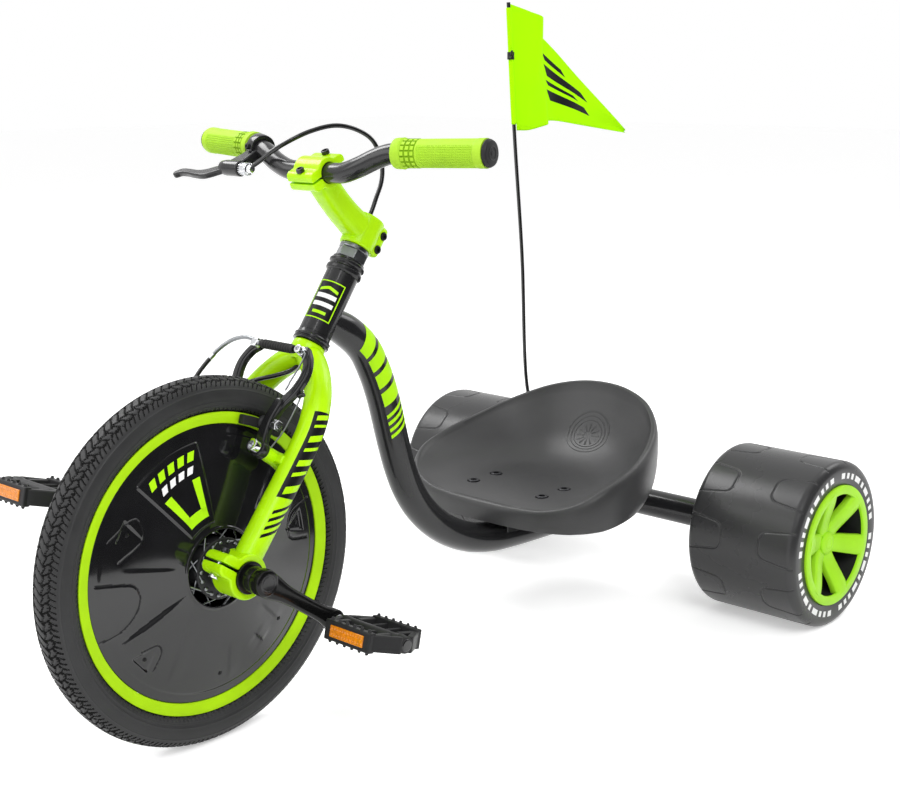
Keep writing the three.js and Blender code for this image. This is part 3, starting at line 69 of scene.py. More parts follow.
BASE = Matrix.Translation((-MIDDLE_X, 0, 0))
HEAD = BASE @ Matrix.Translation((HEAD_X, 0, HEAD_Z)) @ Matrix.Rotation(HEAD_ANGLE - math.pi / 2, 4, "Y")
AXLE = HEAD @ Matrix.Translation((FORK_OFFSET, 0, -FORK_LENGTH))
WHEEL = BASE @ Matrix.Translation((WHEELBASE, 0, FRONT_RADIUS))
REAR = BASE @ Matrix.Translation((0, 0, REAR_RADIUS))
MIRROR = Matrix.Scale(-1, 4, (0, 1, 0))
SIDES = (("left", Matrix()), ("right", MIRROR))
SHARP_FROM = math.radians(35)
ART_LIFT = 0.00015


# Materials
def material(name, colour, roughness, metallic=0.0, coat=0.0, specular=0.5, vary=0.12, vary_scale=30.0,
             rough_vary=0.08, bump=0.0, bump_scale=900.0):
    """A painted, moulded or plated surface whose colour, gloss and fine relief vary a little."""
    made = bpy.data.materials.new(name)
    made.use_nodes = True
    tree = made.node_tree
    shader = tree.nodes["Principled BSDF"]
    shader.inputs["Metallic"].default_value = metallic
    shader.inputs["Specular IOR Level"].default_value = specular
    shader.inputs["Coat Weight"].default_value = coat
    shader.inputs["Coat Roughness"].default_value = 0.06
    place = tree.nodes.new("ShaderNodeTexCoord")
    cloud = tree.nodes.new("ShaderNodeTexNoise")
    cloud.inputs["Scale"].default_value = vary_scale
    cloud.inputs["Detail"].default_value = 4.0
    tree.links.new(place.outputs["Object"], cloud.inputs["Vector"])
    tint = tree.nodes.new("ShaderNodeValToRGB")
    low = [channel * (1 - vary) for channel in colour]
    tint.color_ramp.elements[0].position = 0.3
    tint.color_ramp.elements[0].color = (*low, 1)
    tint.color_ramp.elements[1].position = 0.7
    tint.color_ramp.elements[1].color = (*colour, 1)
    tree.links.new(cloud.outputs["Fac"], tint.inputs["Fac"])
    tree.links.new(tint.outputs["Color"], shader.inputs["Base Color"])
    gloss = tree.nodes.new("ShaderNodeMapRange")
    gloss.inputs["To Min"].default_value = max(roughness - rough_vary, 0.02)
    gloss.inputs["To Max"].default_value = min(roughness + rough_vary, 1.0)
    tree.links.new(cloud.outputs["Fac"], gloss.inputs["Value"])
    tree.links.new(gloss.outputs["Result"], shader.inputs["Roughness"])
    if bump:
        grain = tree.nodes.new("ShaderNodeTexNoise")
        grain.inputs["Scale"].default_value = bump_scale
        grain.inputs["Detail"].default_value = 3.0
        tree.links.new(place.outputs["Object"], grain.inputs["Vector"])
        relief = tree.nodes.new("ShaderNodeBump")
        relief.inputs["Strength"].default_value = bump
        relief.inputs["Distance"].default_value = 0.0006
        tree.links.new(grain.outputs["Fac"], relief.inputs["Height"])
        tree.links.new(relief.outputs["Normal"], shader.inputs["Normal"])
    return made


LIME = material("lime_paint", (0.47, 0.87, 0.002), 0.26, coat=0.1, specular=0.2, bump=0.05, bump_scale=500)
LIME_RING = material("lime_ring", (0.43, 0.76, 0.004), 0.4, specular=0.12, bump=0.05)
LIME_PLASTIC = material("lime_plastic", (0.38, 0.78, 0.02), 0.4, specular=0.2, bump=0.08, bump_scale=700)
LIME_RUBBER = material("lime_rubber", (0.42, 0.71, 0.035), 0.55, specular=0.2, bump=0.15, bump_scale=1200)
# Darker lime for painted shade in the grip's sunken gaps between the raised squares.
LIME_GAP_SHADE = material("lime_rubber_gap_shade", (0.22, 0.42, 0.01), 0.7, specular=0.1, bump=0.1)
BLACK_DEEP = material("black_forged", (0.005, 0.005, 0.005), 0.2, coat=0.08, specular=0.2, bump=0.05)
BLACK = material("black_paint", (0.014, 0.014, 0.015), 0.22, coat=0.25, specular=0.3, bump=0.04,
                 bump_scale=500)
BLACK_GLOSS = material("black_gloss", (0.010, 0.010, 0.011), 0.1, coat=0.2, specular=0.5, vary=0.3)
BLACK_SATIN = material("black_satin", (0.022, 0.022, 0.023), 0.42, specular=0.2, bump=0.12, bump_scale=1500)
SEAT_BLACK = material("seat_black", (0.042, 0.042, 0.043), 0.37, specular=0.34, bump=0.14, bump_scale=1400,
                      vary=0.16, vary_scale=14)
ROLLER = material("roller_black", (0.034, 0.034, 0.035), 0.28, specular=0.35, bump=0.08, bump_scale=1300,
                  vary=0.14, vary_scale=12)
TYRE = material("tyre_rubber", (0.030, 0.030, 0.031), 0.5, specular=0.3, bump=0.3, bump_scale=1100, vary=0.25)
# Near-black painted shade for the bottoms of the tread grooves.
TYRE_GROOVE_SHADE = material("tyre_groove_shade", (0.008, 0.008, 0.008), 0.8, specular=0.1, bump=0.1)
RUBBER = material("black_rubber", (0.020, 0.020, 0.020), 0.6, specular=0.2, bump=0.15)
ALLOY = material("satin_alloy", (0.7, 0.71, 0.73), 0.3, metallic=1.0, bump=0.06, bump_scale=2000)
CHROME = material("bright_steel", (0.72, 0.73, 0.75), 0.14, metallic=1.0, vary=0.08)
DARK_STEEL = material("dark_steel", (0.05, 0.05, 0.055), 0.35, metallic=0.8, bump=0.08)
NUT_STEEL = material("grey_steel", (0.26, 0.27, 0.28), 0.32, metallic=1.0, bump=0.08)
AMBER = material("amber_reflector", (0.85, 0.26, 0.005), 0.15, coat=0.5, vary=0.3, vary_scale=300)
WHITE_INK = material("white_ink", (0.85, 0.85, 0.85), 0.45, specular=0.2, vary=0.05)
# Black print, screws and the dark studio board; also painted shade in the wheel covers' cuts and creases.
BLACK_INK_AND_SHADE = material("black_ink_and_shade", (0.008, 0.008, 0.009), 0.35, specular=0.2)
LIME_INK = material("lime_ink", (0.42, 0.82, 0.003), 0.4, specular=0.15, vary=0.05)
FLAG_CLOTH = material("flag_cloth", (0.41, 0.94, 0.001), 0.85, specular=0.05, vary=0.06, vary_scale=9,
                      bump=0.25, bump_scale=2600)


# Mesh helpers
def cleaned(mesh):
    """Joins a mesh's doubled points and turns its faces outwards."""
    tidy = bmesh.new()
    tidy.from_mesh(mesh)
    bmesh.ops.remove_doubles(tidy, verts=tidy.verts, dist=1e-6)
    bmesh.ops.recalc_face_normals(tidy, faces=tidy.faces)
    tidy.to_mesh(mesh)
    tidy.free()


def shown(name, verts, faces, matrix, made, body, smooth=SHARP_FROM):
    """Makes a piece from points in the space of matrix and lets it ride on a body."""
    mesh = bpy.data.meshes.new(name)
    flipped = matrix.determinant() < 0
    mesh.from_pydata([matrix @ Vector(v) for v in verts], [], [f[::-1] for f in faces] if flipped else faces)
    cleaned(mesh)
    mesh.polygons.foreach_set("use_smooth", [True] * len(mesh.polygons))
    if smooth is not None:
        mesh.set_sharp_from_angle(angle=smooth)
    mesh.materials.append(made)
    piece = bpy.data.objects.new(name, mesh)
    bpy.context.collection.objects.link(piece)
    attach(piece, body)
    return piece


def both(name, part, matrix, made, body, smooth=SHARP_FROM):
    """Makes a left piece and its mirror image on the right."""
    return [shown(f"{name}_{side}", *moved(part, flip), matrix, made, body, smooth) for side, flip in SIDES]


def painted(piece, made, matrix, chosen):
    """Gives a second material to the faces whose middle, in the space of matrix, is chosen."""
    piece.data.materials.append(made)
    back = matrix.inverted()
    for face in piece.data.polygons:
        if chosen(back @ face.center):
            face.material_index = 1


def merge(*parts):
    """Joins (verts, faces) pairs into one pair."""
    verts, faces = [], []
    for part_verts, part_faces in parts:
        start = len(verts)
        verts += [Vector(v) for v in part_verts]
        faces += [[i + start for i in face] for face in part_faces]
    return verts, faces


def moved(part, matrix):
    verts, faces = part
    return [matrix @ Vector(v) for v in verts], faces


def shift(x, y, z):
    return Matrix.Translation((x, y, z))


def to_x(part):
    """Turns a piece drawn along Y to lie along X."""
    return moved(part, Matrix.Rotation(-math.pi / 2, 4, "Z"))


def to_z(part):
    """Turns a piece drawn along Y to stand along Z."""
    return moved(part, Matrix.Rotation(math.pi / 2, 4, "X"))


def along_y(run):
    """The turn that takes Y to a direction."""
    return Vector((0, 1, 0)).rotation_difference(run.normalized()).to_matrix().to_4x4()


def skin(rows, closed=False, looped=False, caps=False):
    """Joins rows of equally many points; closed joins the last row to the first, looped each to itself."""
    count = len(rows[0])
    verts = [point for row in rows for point in row]
    faces = []
    for i in range(len(rows) if closed else len(rows) - 1):
        a = i * count
        b = (i + 1) % len(rows) * count
        for j in range(count if looped else count - 1):
            k = (j + 1) % count
            faces.append([a + j, a + k, b + k, b + j])
    if caps:
        faces.append(list(range(count))[::-1])
        faces.append(list(range(len(verts) - count, len(verts))))
    return verts, faces


def patch(place, steps):
    """A surface of equal steps both ways; place gives its point at two shares from 0 to 1."""
    shares = [k / steps for k in range(steps + 1)]
    return skin([[place(a, b) for b in shares] for a in shares])


def turns(count):
    """Equal turns round a circle."""
    return [2 * math.pi * i / count for i in range(count)]


def round_point(r, y, turn):
    return r * math.cos(turn), y, r * math.sin(turn)


def lathe(profile, sides=64):
    """Turns [radius, y] points about Y. A point at radius 0 closes an end."""
    return skin([[round_point(r, y, turn) for r, y in profile] for turn in turns(sides)], closed=True)


def ring(profile, sides=64):
    """Turns a closed loop of [radius, y] points about Y."""
    return lathe([*profile, profile[0]], sides)


def turned(profile, soft, sides):
    """A lathe piece whose outline has its corners rounded."""
    return lathe(rounded(profile, soft), sides)


def cylinder(radius, low, high, sides, soft=0.0):
    """A plain cylinder about Y between two heights."""
    profile = [(0.0, low), (radius, low), (radius, high), (0.0, high)]
    return turned(profile, soft, sides) if soft else lathe(profile, sides)


def rod(a, b, radius, sides=12):
    """A round rod between two points."""
    a, b = Vector(a), Vector(b)
    return moved(cylinder(radius, 0.0, (b - a).length, sides), Matrix.Translation(a) @ along_y(b - a))


def soft_loop(inner, outer, low, high, soft):
    """A sleeve's closed outline with three of its corners rounded."""
    return rounded([(inner, low), (outer, low), (outer, high), (inner, high), (inner, low)], soft)[:-1]


def rounded(profile, radius, steps=3):
    """Rounds the inner corners of an open [radius, y] outline."""
    points = [Vector(p) for p in profile]
    out = [points[0]]
    for before, corner, after in zip(points, points[1:], points[2:]):
        a = before - corner
        b = after - corner
        reach = min(radius, a.length / 2, b.length / 2)
        start = corner + a.normalized() * reach
        end = corner + b.normalized() * reach
        for k in range(steps + 1):
            t = k / steps
            out.append(start.lerp(corner, t).lerp(corner.lerp(end, t), t))
    out.append(points[-1])
    return [tuple(p) for p in out]


def smooth_line(points, per=8, closed=False):
    """A centripetal Catmull-Rom line through the points."""
    pts = [Vector(p) for p in points]
    if closed:
        pts = [pts[-1], *pts, pts[0], pts[1]]
    else:
        pts = [pts[0] * 2 - pts[1], *pts, pts[-1] * 2 - pts[-2]]
    line = []
    for p0, p1, p2, p3 in zip(pts, pts[1:], pts[2:], pts[3:]):
        t0 = 0
        t1 = t0 + max((p1 - p0).length, 1e-9) ** 0.5
        t2 = t1 + max((p2 - p1).length, 1e-9) ** 0.5
        t3 = t2 + max((p3 - p2).length, 1e-9) ** 0.5
        for k in range(per):
            t = t1 + (t2 - t1) * k / per
            a1 = p0 * ((t1 - t) / (t1 - t0)) + p1 * ((t - t0) / (t1 - t0))
            a2 = p1 * ((t2 - t) / (t2 - t1)) + p2 * ((t - t1) / (t2 - t1))
            a3 = p2 * ((t3 - t) / (t3 - t2)) + p3 * ((t - t2) / (t3 - t2))
            b1 = a1 * ((t2 - t) / (t2 - t0)) + a2 * ((t - t0) / (t2 - t0))
            b2 = a2 * ((t3 - t) / (t3 - t1)) + a3 * ((t - t1) / (t3 - t1))
            line.append(b1 * ((t2 - t) / (t2 - t1)) + b2 * ((t - t1) / (t2 - t1)))
    if not closed:
        line.append(pts[-2])
    return line


def frames(line, side=(0, 1, 0)):
    """Points with two cross directions each, the first kept near side."""
    out = []
    across = Vector(side)
    for i, p in enumerate(line):
        along = (line[min(i + 1, len(line) - 1)] - line[max(i - 1, 0)]).normalized()
        across = (across - along * across.dot(along)).normalized()
        out.append((p, across.copy(), along.cross(across)))
    return out


def tube(points, radius, sides=24, per=8, side=(0, 1, 0)):
    """A round tube along a smooth line; radius is a number or a function of the share along it."""
    made = frames(smooth_line(points, per), side)
    rows = []
    for i, (p, u, v) in enumerate(made):
        r = radius(i / (len(made) - 1)) if callable(radius) else radius
        rows.append([p + u * (r * math.cos(turn)) + v * (r * math.sin(turn)) for turn in turns(sides)])
    return skin(rows, looped=True, caps=True)


def route_patch(route, per, radius, shares, around, skew, steps):
    """A thin patch on a tube between two shares of its length and two turns round it."""
    made = frames(smooth_line(route, per))
    rows = []
    for i in range(steps + 1):
        row = []
        for j in range(steps + 1):
            turn = around[0] + (around[1] - around[0]) * j / steps
            share = shares[0] + (shares[1] - shares[0]) * i / steps + skew * (j / steps - 0.5)
            at = min(max(share, 0), 1) * (len(made) - 1)
            k = min(int(at), len(made) - 2)
            p, u, v = made[k]
            p = p.lerp(made[k + 1][0], at - k)
            row.append(p + u * (radius * math.cos(turn)) + v * (radius * math.sin(turn)))
        rows.append(row)
    return skin(rows)


def soft_box(sides, power):
    """A square of half size 1 with soft corners, as (across, up) points."""
    points = []
    for turn in turns(sides):
        c, s = math.cos(turn), math.sin(turn)
        scale = (abs(c) ** power + abs(s) ** power) ** (-1 / power)
        points.append((c * scale, s * scale))
    return points


def prism(outline, low, high):
    """An outline in X and Z pulled along Y from low to high."""
    count = len(outline)
    verts = [(x, low, z) for x, z in outline] + [(x, high, z) for x, z in outline]
    faces = [list(range(count)), list(range(count, 2 * count))[::-1]]
    for i in range(count):
        j = (i + 1) % count
        faces.append([i, i + count, j + count, j])
    return verts, faces


def block(x, y, z):
    """A box between pairs of limits."""
    return prism([(x[0], z[0]), (x[1], z[0]), (x[1], z[1]), (x[0], z[1])], y[0], y[1])


def bevelled(piece, width, segments=3, angle=math.radians(30)):
    bevel = piece.modifiers.new("edges", "BEVEL")
    bevel.width = width
    bevel.segments = segments
    bevel.limit_method = "ANGLE"
    bevel.angle_limit = angle
    bevel.harden_normals = False
    return piece


def cutter(name, part, matrix):
    """A hidden tool for a boolean cut; it is removed once the cut is made."""
    mesh = bpy.data.meshes.new(name)
    verts, faces = part
    mesh.from_pydata([matrix @ Vector(v) for v in verts], [], faces)
    cleaned(mesh)
    tool = bpy.data.objects.new(name, mesh)
    bpy.context.collection.objects.link(tool)
    return tool


def cut_by(piece, parts, matrix):
    """Cuts the parts out of a piece and applies the result."""
    tools = [cutter(f"{piece.name}_tool_{k}", part, matrix) for k, part in enumerate(parts)]
    for k, tool in enumerate(tools):
        made = piece.modifiers.new(f"cut_{k}", "BOOLEAN")
        made.operation = "DIFFERENCE"
        made.solver = "EXACT"
        made.object = tool
    bpy.context.view_layer.update()
    mesh = bpy.data.meshes.new_from_object(piece.evaluated_get(bpy.context.evaluated_depsgraph_get()))
    piece.modifiers.clear()
    old = piece.data
    piece.data = mesh
    bpy.data.meshes.remove(old)
    for tool in tools:
        data = tool.data
        bpy.data.objects.remove(tool)
        bpy.data.meshes.remove(data)
    mesh.set_sharp_from_angle(angle=SHARP_FROM)
    return piece


def hexagon(radius, turn=0.0):
    return [(radius * math.cos(turn + k * math.pi / 3), radius * math.sin(turn + k * math.pi / 3))
            for k in range(6)]


def socket_head(radius, height, depth=0.5):
    """A socket screw's head about Y with its hexagonal hole, bottom at y = 0."""
    bore = radius * 0.55
    head = turned([(0.0, 0.0), (radius, 0.0), (radius, height), (bore, height)], radius * 0.18, 24)
    hole = hexagon(bore)
    verts = [(x, height, z) for x, z in hole] + [(x, height * (1 - depth), z) for x, z in hole]
    faces = [[i, (i + 1) % 6, (i + 1) % 6 + 6, i + 6] for i in range(6)] + [[6, 7, 8, 9, 10, 11]]
    return merge(head, (verts, faces))


# Camera and lamps
CAMERA_PLACE = (1.6801 - MIDDLE_X, 1.22445, 0.70876)
CAMERA_YAW = 3.89072
CAMERA_PITCH = 0.2212
CAMERA_ROLL = -0.00501
LENS = 60.4056


def camera():
    data = bpy.data.cameras.new("camera")
    data.lens = LENS
    data.sensor_width = 36
    data.sensor_fit = "HORIZONTAL"
    data.clip_start = 0.05
    ahead = Vector((math.cos(CAMERA_PITCH) * math.cos(CAMERA_YAW),
                    math.cos(CAMERA_PITCH) * math.sin(CAMERA_YAW), -math.sin(CAMERA_PITCH)))
    right = ahead.cross(Vector((0, 0, 1))).normalized()
    up = right.cross(ahead)
    right, up = (right * math.cos(CAMERA_ROLL) + up * math.sin(CAMERA_ROLL),
                 up * math.cos(CAMERA_ROLL) - right * math.sin(CAMERA_ROLL))
    made = bpy.data.objects.new("camera", data)
    made.matrix_world = Matrix.Translation(CAMERA_PLACE) @ Matrix((right, up, -ahead)).transposed().to_4x4()
    bpy.context.collection.objects.link(made)
    bpy.context.scene.camera = made


def lamp(name, place, aim, size, power):
    data = bpy.data.lights.new(name, "AREA")
    data.shape = "RECTANGLE"
    data.size, data.size_y = size
    data.energy = power
    made = bpy.data.objects.new(name, data)
    made.location = place
    made.rotation_euler = (Vector(aim) - Vector(place)).to_track_quat("-Z", "Y").to_euler()
    bpy.context.collection.objects.link(made)


def seen_directly(tree):
    """A factor of 1 wherever the camera, or a glossy or clear surface, looks at this."""
    path = tree.nodes.new("ShaderNodeLightPath")
    factor = path.outputs["Is Camera Ray"]
    for name in ("Is Glossy Ray", "Is Transmission Ray"):
        most = tree.nodes.new("ShaderNodeMath")
        most.operation = "MAXIMUM"
        tree.links.new(factor, most.inputs[0])
        tree.links.new(path.outputs[name], most.inputs[1])
        factor = most.outputs[0]
    return factor


WORLD_STRENGTH = 0.58
FLOOR_HALF = 14.0
FLOOR_COLOUR = (0.95, 0.95, 0.95, 1)
FLOOR_LIFT = 0.42
WHITE = (1, 1, 1, 1)


def world():
    made = bpy.data.worlds.new("world")
    bpy.context.scene.world = made
    made.use_nodes = True
    tree = made.node_tree
    tree.nodes.clear()
    soft = tree.nodes.new("ShaderNodeBackground")
    soft.inputs["Color"].default_value = WHITE
    soft.inputs["Strength"].default_value = WORLD_STRENGTH
    white = tree.nodes.new("ShaderNodeBackground")
    white.inputs["Color"].default_value = WHITE
    white.inputs["Strength"].default_value = 1.0
    mix = tree.nodes.new("ShaderNodeMixShader")
    out = tree.nodes.new("ShaderNodeOutputWorld")
    tree.links.new(seen_directly(tree), mix.inputs[0])
    tree.links.new(soft.outputs[0], mix.inputs[1])
    tree.links.new(white.outputs[0], mix.inputs[2])
    tree.links.new(mix.outputs[0], out.inputs["Surface"])


def floor():
    """A plain pale floor; a little light that only the camera sees takes it to white outside the shadow."""
    mesh = bpy.data.meshes.new("floor")
    half = FLOOR_HALF
    mesh.from_pydata([(-half, -half, 0), (half, -half, 0), (half, half, 0), (-half, half, 0)], [],
                     [[0, 1, 2, 3]])
    made = bpy.data.materials.new("floor")
    made.use_nodes = True
    tree = made.node_tree
    shader = tree.nodes["Principled BSDF"]
    shader.inputs["Base Color"].default_value = FLOOR_COLOUR
    shader.inputs["Roughness"].default_value = 0.9
    shader.inputs["Specular IOR Level"].default_value = 0.1
    shader.inputs["Emission Color"].default_value = WHITE
    lift = tree.nodes.new("ShaderNodeMath")
    lift.operation = "MULTIPLY"
    lift.inputs[1].default_value = FLOOR_LIFT
    tree.links.new(seen_directly(tree), lift.inputs[0])
    tree.links.new(lift.outputs[0], shader.inputs["Emission Strength"])
    mesh.materials.append(made)
    piece = bpy.data.objects.new("floor", mesh)
    bpy.context.collection.objects.link(piece)


CARD_PLACE = (-0.15, 0.75, 0.86)
CARD_SIZE = (2.1, 1.66)


def dark_card():
    """A dark board beside the trike, as in a studio: only shiny surfaces see it."""
    x, y, z = CARD_PLACE
    wide, high = CARD_SIZE
    corners = [(x + a * wide / 2, y, z + b * high / 2) for a, b in ((-1, -1), (1, -1), (1, 1), (-1, 1))]
    mesh = bpy.data.meshes.new("dark_card")
    mesh.from_pydata(corners, [], [[0, 1, 2, 3]])
    mesh.materials.append(BLACK_INK_AND_SHADE)
    board = bpy.data.objects.new("dark_card", mesh)
    board.visible_camera = False
    board.visible_diffuse = False
    board.visible_transmission = False
    board.visible_shadow = False
    bpy.context.collection.objects.link(board)


bpy.context.scene.view_settings.view_transform = "Standard"
camera()
world()
lamp("key", (1.4, 2.2, 2.6), (0.1, 0, 0.2), (1.6, 1.6), 60)
lamp("fill", (2.6, -1.4, 1.8), (0.2, 0, 0.3), (1.8, 1.8), 22)
lamp("back", (-2.2, 0.8, 2.2), (0, 0, 0.3), (1.4, 1.4), 20)
lamp("top", (0.4, -1.6, 2.3), (-0.2, 0, 0.2), (1.1, 1.1), 34)
dark_card()
floor()

# Front wheel
TYRE_PROFILE = [
    (0.1560, 0.0098), (0.1637, 0.0126), (0.1650, 0.0160), (0.1672, 0.0185), (0.1712, 0.0205),
    (0.1772, 0.0215), (0.1835, 0.0209), (0.1880, 0.0195), (0.1915, 0.0175), (0.1943, 0.0145),
    (0.1965, 0.0105), (0.1979, 0.0055), (0.1985, 0.0000),
]
TREAD_HALF = 0.0186
TREAD_DEPTH = 0.0014
TREAD_PITCH = 0.0096
TREAD_GROOVE_SHARE = 0.21
TREAD_LINE_HALF = 0.0009
TREAD_BANDS = (0.0055, 0.0122)
TREAD_LEAN = 0.8
SIDE_RIBS = (0.1692, 0.1735, 0.1862)
SIDE_RIB_HALF = 0.0007
SIDE_RIB_HEIGHT = 0.0005
TYRE_SIDES = 1200


def tread_drop(arc, across):
    """How far the tread is cut at a place: zig-zag lines round the tyre with oblique cuts between."""
    side = abs(across)
    if side > TREAD_HALF:
        return 0.0
    wave = abs((arc / TREAD_PITCH + (0.5 if across > 0 else 0)) % 1 - 0.5) * TREAD_PITCH * 0.5
    for band in TREAD_BANDS:
        if abs(side - band - wave) < TREAD_LINE_HALF:
            return TREAD_DEPTH
    lean = 1 if side < TREAD_BANDS[0] + wave else (-1 if side < TREAD_BANDS[1] + wave else 1)
    phase = (arc + lean * TREAD_LEAN * across) / TREAD_PITCH * (1 if side < TREAD_BANDS[1] else 1.5)
    return TREAD_DEPTH if phase % 1 < TREAD_GROOVE_SHARE else 0.0


def tyre():
    half = smooth_line([(r, y, 0) for r, y in TYRE_PROFILE], 5)
    line = [(p.x, p.y) for p in half] + [(p.x, -p.y) for p in reversed(half[:-1])]
    rib = [math.copysign(SIDE_RIB_HEIGHT, y) if min(abs(r - at) for at in SIDE_RIBS) < SIDE_RIB_HALF else 0.0
           for r, y in line]
    rows = [[round_point(r - tread_drop(turn * FRONT_RADIUS, y), y + out, turn)
             for (r, y), out in zip(line, rib)]
            for turn in turns(TYRE_SIDES)]
    piece = shown("tyre", *skin(rows, closed=True), WHEEL, TYRE, "wheel_front")
    # The faces cut into the tread get a near-black material: painted shade in the grooves.
    painted(piece, TYRE_GROOVE_SHADE, WHEEL,
            lambda spot: tread_drop(math.atan2(spot.z, spot.x) * FRONT_RADIUS, spot.y))
    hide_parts("front_tyre")


RIM_PROFILE = [
    (0.1495, 0.0118), (0.1500, 0.0125), (0.1560, 0.0141), (0.1612, 0.0153), (0.1621, 0.0150),
    (0.1621, 0.0133), (0.1612, 0.0128), (0.1540, 0.0100), (0.1535, 0.0080),
]


def rim():
    loop = RIM_PROFILE + [(r, -y) for r, y in reversed(RIM_PROFILE)]
    piece = shown("rim", *ring(loop, 160), WHEEL, LIME_RING, "wheel_front")
    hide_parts("front_rim")


COVER_EDGE = 0.1491
COVER_EDGE_Y = 0.0121
COVER_OPENING = 0.0415
COVER_OPENING_Y = 0.0305
COVER_BULGE = 0.0018
COVER_SCREWS = [(0.118, 28.7), (0.119, -40.8), (0.121, -91.5), (0.119, -136.2), (0.117, 170.0)]
COVER_POCKETS = [COVER_SCREWS[0], COVER_SCREWS[1], COVER_SCREWS[4]]
COVER_CREASES = [
    ((0.045, -0.019), (0.119, -0.056), 1.0), ((0.048, 0.010), (0.116, 0.023), 0.15),
    ((0.038, -0.038), (0.066, -0.119), 0.4), ((-0.054, -0.053), (-0.089, -0.086), 0.5),
    ((-0.013, -0.085), (-0.016, -0.134), 0.4), ((-0.049, -0.088), (-0.064, -0.103), 0.6),
    ((-0.050, 0.048), (-0.085, 0.095), 0.5),
]
COVER_CUTS = [
    [(0.141, 0.012), (0.117, 0.009), (0.101, 0.004), (0.096, -0.011), (0.103, -0.028), (0.119, -0.042),
     (0.139, -0.048)],
    [(0.095, -0.069), (0.077, -0.066), (0.0725, -0.074), (0.081, -0.093)],
    [(-0.137, 0.043), (-0.106, 0.031), (-0.103, 0.008), (-0.133, 0.0)],
    [(0.126, 0.052), (0.094, 0.071), (0.088, 0.050), (0.116, 0.030)],
]
CUT_HALF = 0.0009
# Tapered strokes of painted shade along the deepest creases, as (start, end, half width).
COVER_SHADE_STROKES = [((0.045, -0.019), (0.119, -0.056), 0.0026), ((-0.049, -0.088), (-0.064, -0.103), 0.0013)]
PANEL_FROM = math.radians(49)
PANEL_TO = math.radians(84.5)
PANEL_IN = 0.0515
PANEL_OUT = 0.1355
PANEL_RISE = 0.0018


def cover_height(r):
    share = (r - COVER_OPENING) / (COVER_EDGE - COVER_OPENING)
    return COVER_OPENING_Y + (COVER_EDGE_Y - COVER_OPENING_Y) * share + COVER_BULGE * 4 * share * (1 - share)


def smooth_step(low, high, value):
    t = min(max((value - low) / (high - low), 0.0), 1.0)
    return t * t * (3 - 2 * t)


def between(low, high, edge, value):
    """1 inside a stretch and 0 outside it, with soft edges."""
    return smooth_step(low - edge, low + edge, value) * (1 - smooth_step(high - edge, high + edge, value))


def to_segment(x, z, a, b):
    ax, az = a
    bx, bz = b
    along = ((x - ax) * (bx - ax) + (z - az) * (bz - az)) / ((bx - ax) ** 2 + (bz - az) ** 2)
    share = min(max(along, 0.0), 1.0)
    side = (x - ax) * (bz - az) - (z - az) * (bx - ax)
    return math.hypot(x - ax - share * (bx - ax), z - az - share * (bz - az)), share, side, along


CUT_DEPTH = 0.0006
CREASE_RISE = 0.0013
CREASE_DIP = 0.0009
CREASE_EDGE = 0.0022
CREASE_FADE = 0.020
POCKET_LENGTH = 0.030
POCKET_HALF = 0.013
POCKET_DEPTH = 0.0026
COVER_STEP = 0.1385
COVER_STEP_DROP = 0.0007
COVER_STEP_EDGE = 0.0012
POCKET_BACK = 0.010
POCKET_WALL_IN = 0.0022
POCKET_WALL_OUT = 0.0008
POCKET_END = 0.0028
PANEL_TURN_EDGE = 0.012
PANEL_EDGE = 0.001
COVER_ROWS = 110
COVER_SIDES = 600
COVER_LIP = [(0.0, -0.004), (0.0, 0.0009), (0.0006, 0.0013), (0.0022, 0.0012), (0.0030, 0.0004)]
COVER_LIP_WIDTH = 0.0038
COVER_HEM = 0.004
COVER_SCREW_PROFILE = [(0.0, 0.0012), (0.0012, 0.0012), (0.0014, 0.0002), (0.0026, 0.0002), (0.0030, -0.002)]
COVER_CUT_LINES = [smooth_line([(x, z, 0) for x, z in cut], 4) for cut in COVER_CUTS]
CUT_REACH = 0.003
CUT_BOX = 0.012


def to_cuts(x, z):
    """How far a place is from the nearest line cut into the cover, up to the cuts' reach."""
    nearest = CUT_REACH
    for line in COVER_CUT_LINES:
        if all(abs(x - p.x) > CUT_BOX or abs(z - p.y) > CUT_BOX for p in line):
            continue
        for a, b in zip(line, line[1:]):
            nearest = min(nearest, to_segment(x, z, (a.x, a.y), (b.x, b.y))[0])
    return nearest


def crease_side(apart):
    """How much of a crease is felt at a distance to one side of it."""
    return smooth_step(-CREASE_EDGE, CREASE_EDGE, apart) * (1 - smooth_step(CREASE_EDGE, CREASE_FADE, apart))


def pocket_drop(x, z, radius, degrees):
    """The depth of a tapered pocket that runs in from a cover screw."""
    spot = math.radians(degrees)
    along = radius + POCKET_BACK - (x * math.cos(spot) + z * math.sin(spot))
    if not 0 < along < POCKET_LENGTH:
        return 0.0
    across = abs(-x * math.sin(spot) + z * math.cos(spot))
    left = 1 - along / POCKET_LENGTH
    half = POCKET_HALF * left
    wall = 1 - smooth_step(half - POCKET_WALL_IN, half + POCKET_WALL_OUT, across)
    return POCKET_DEPTH * wall * left * smooth_step(0, POCKET_END, along)


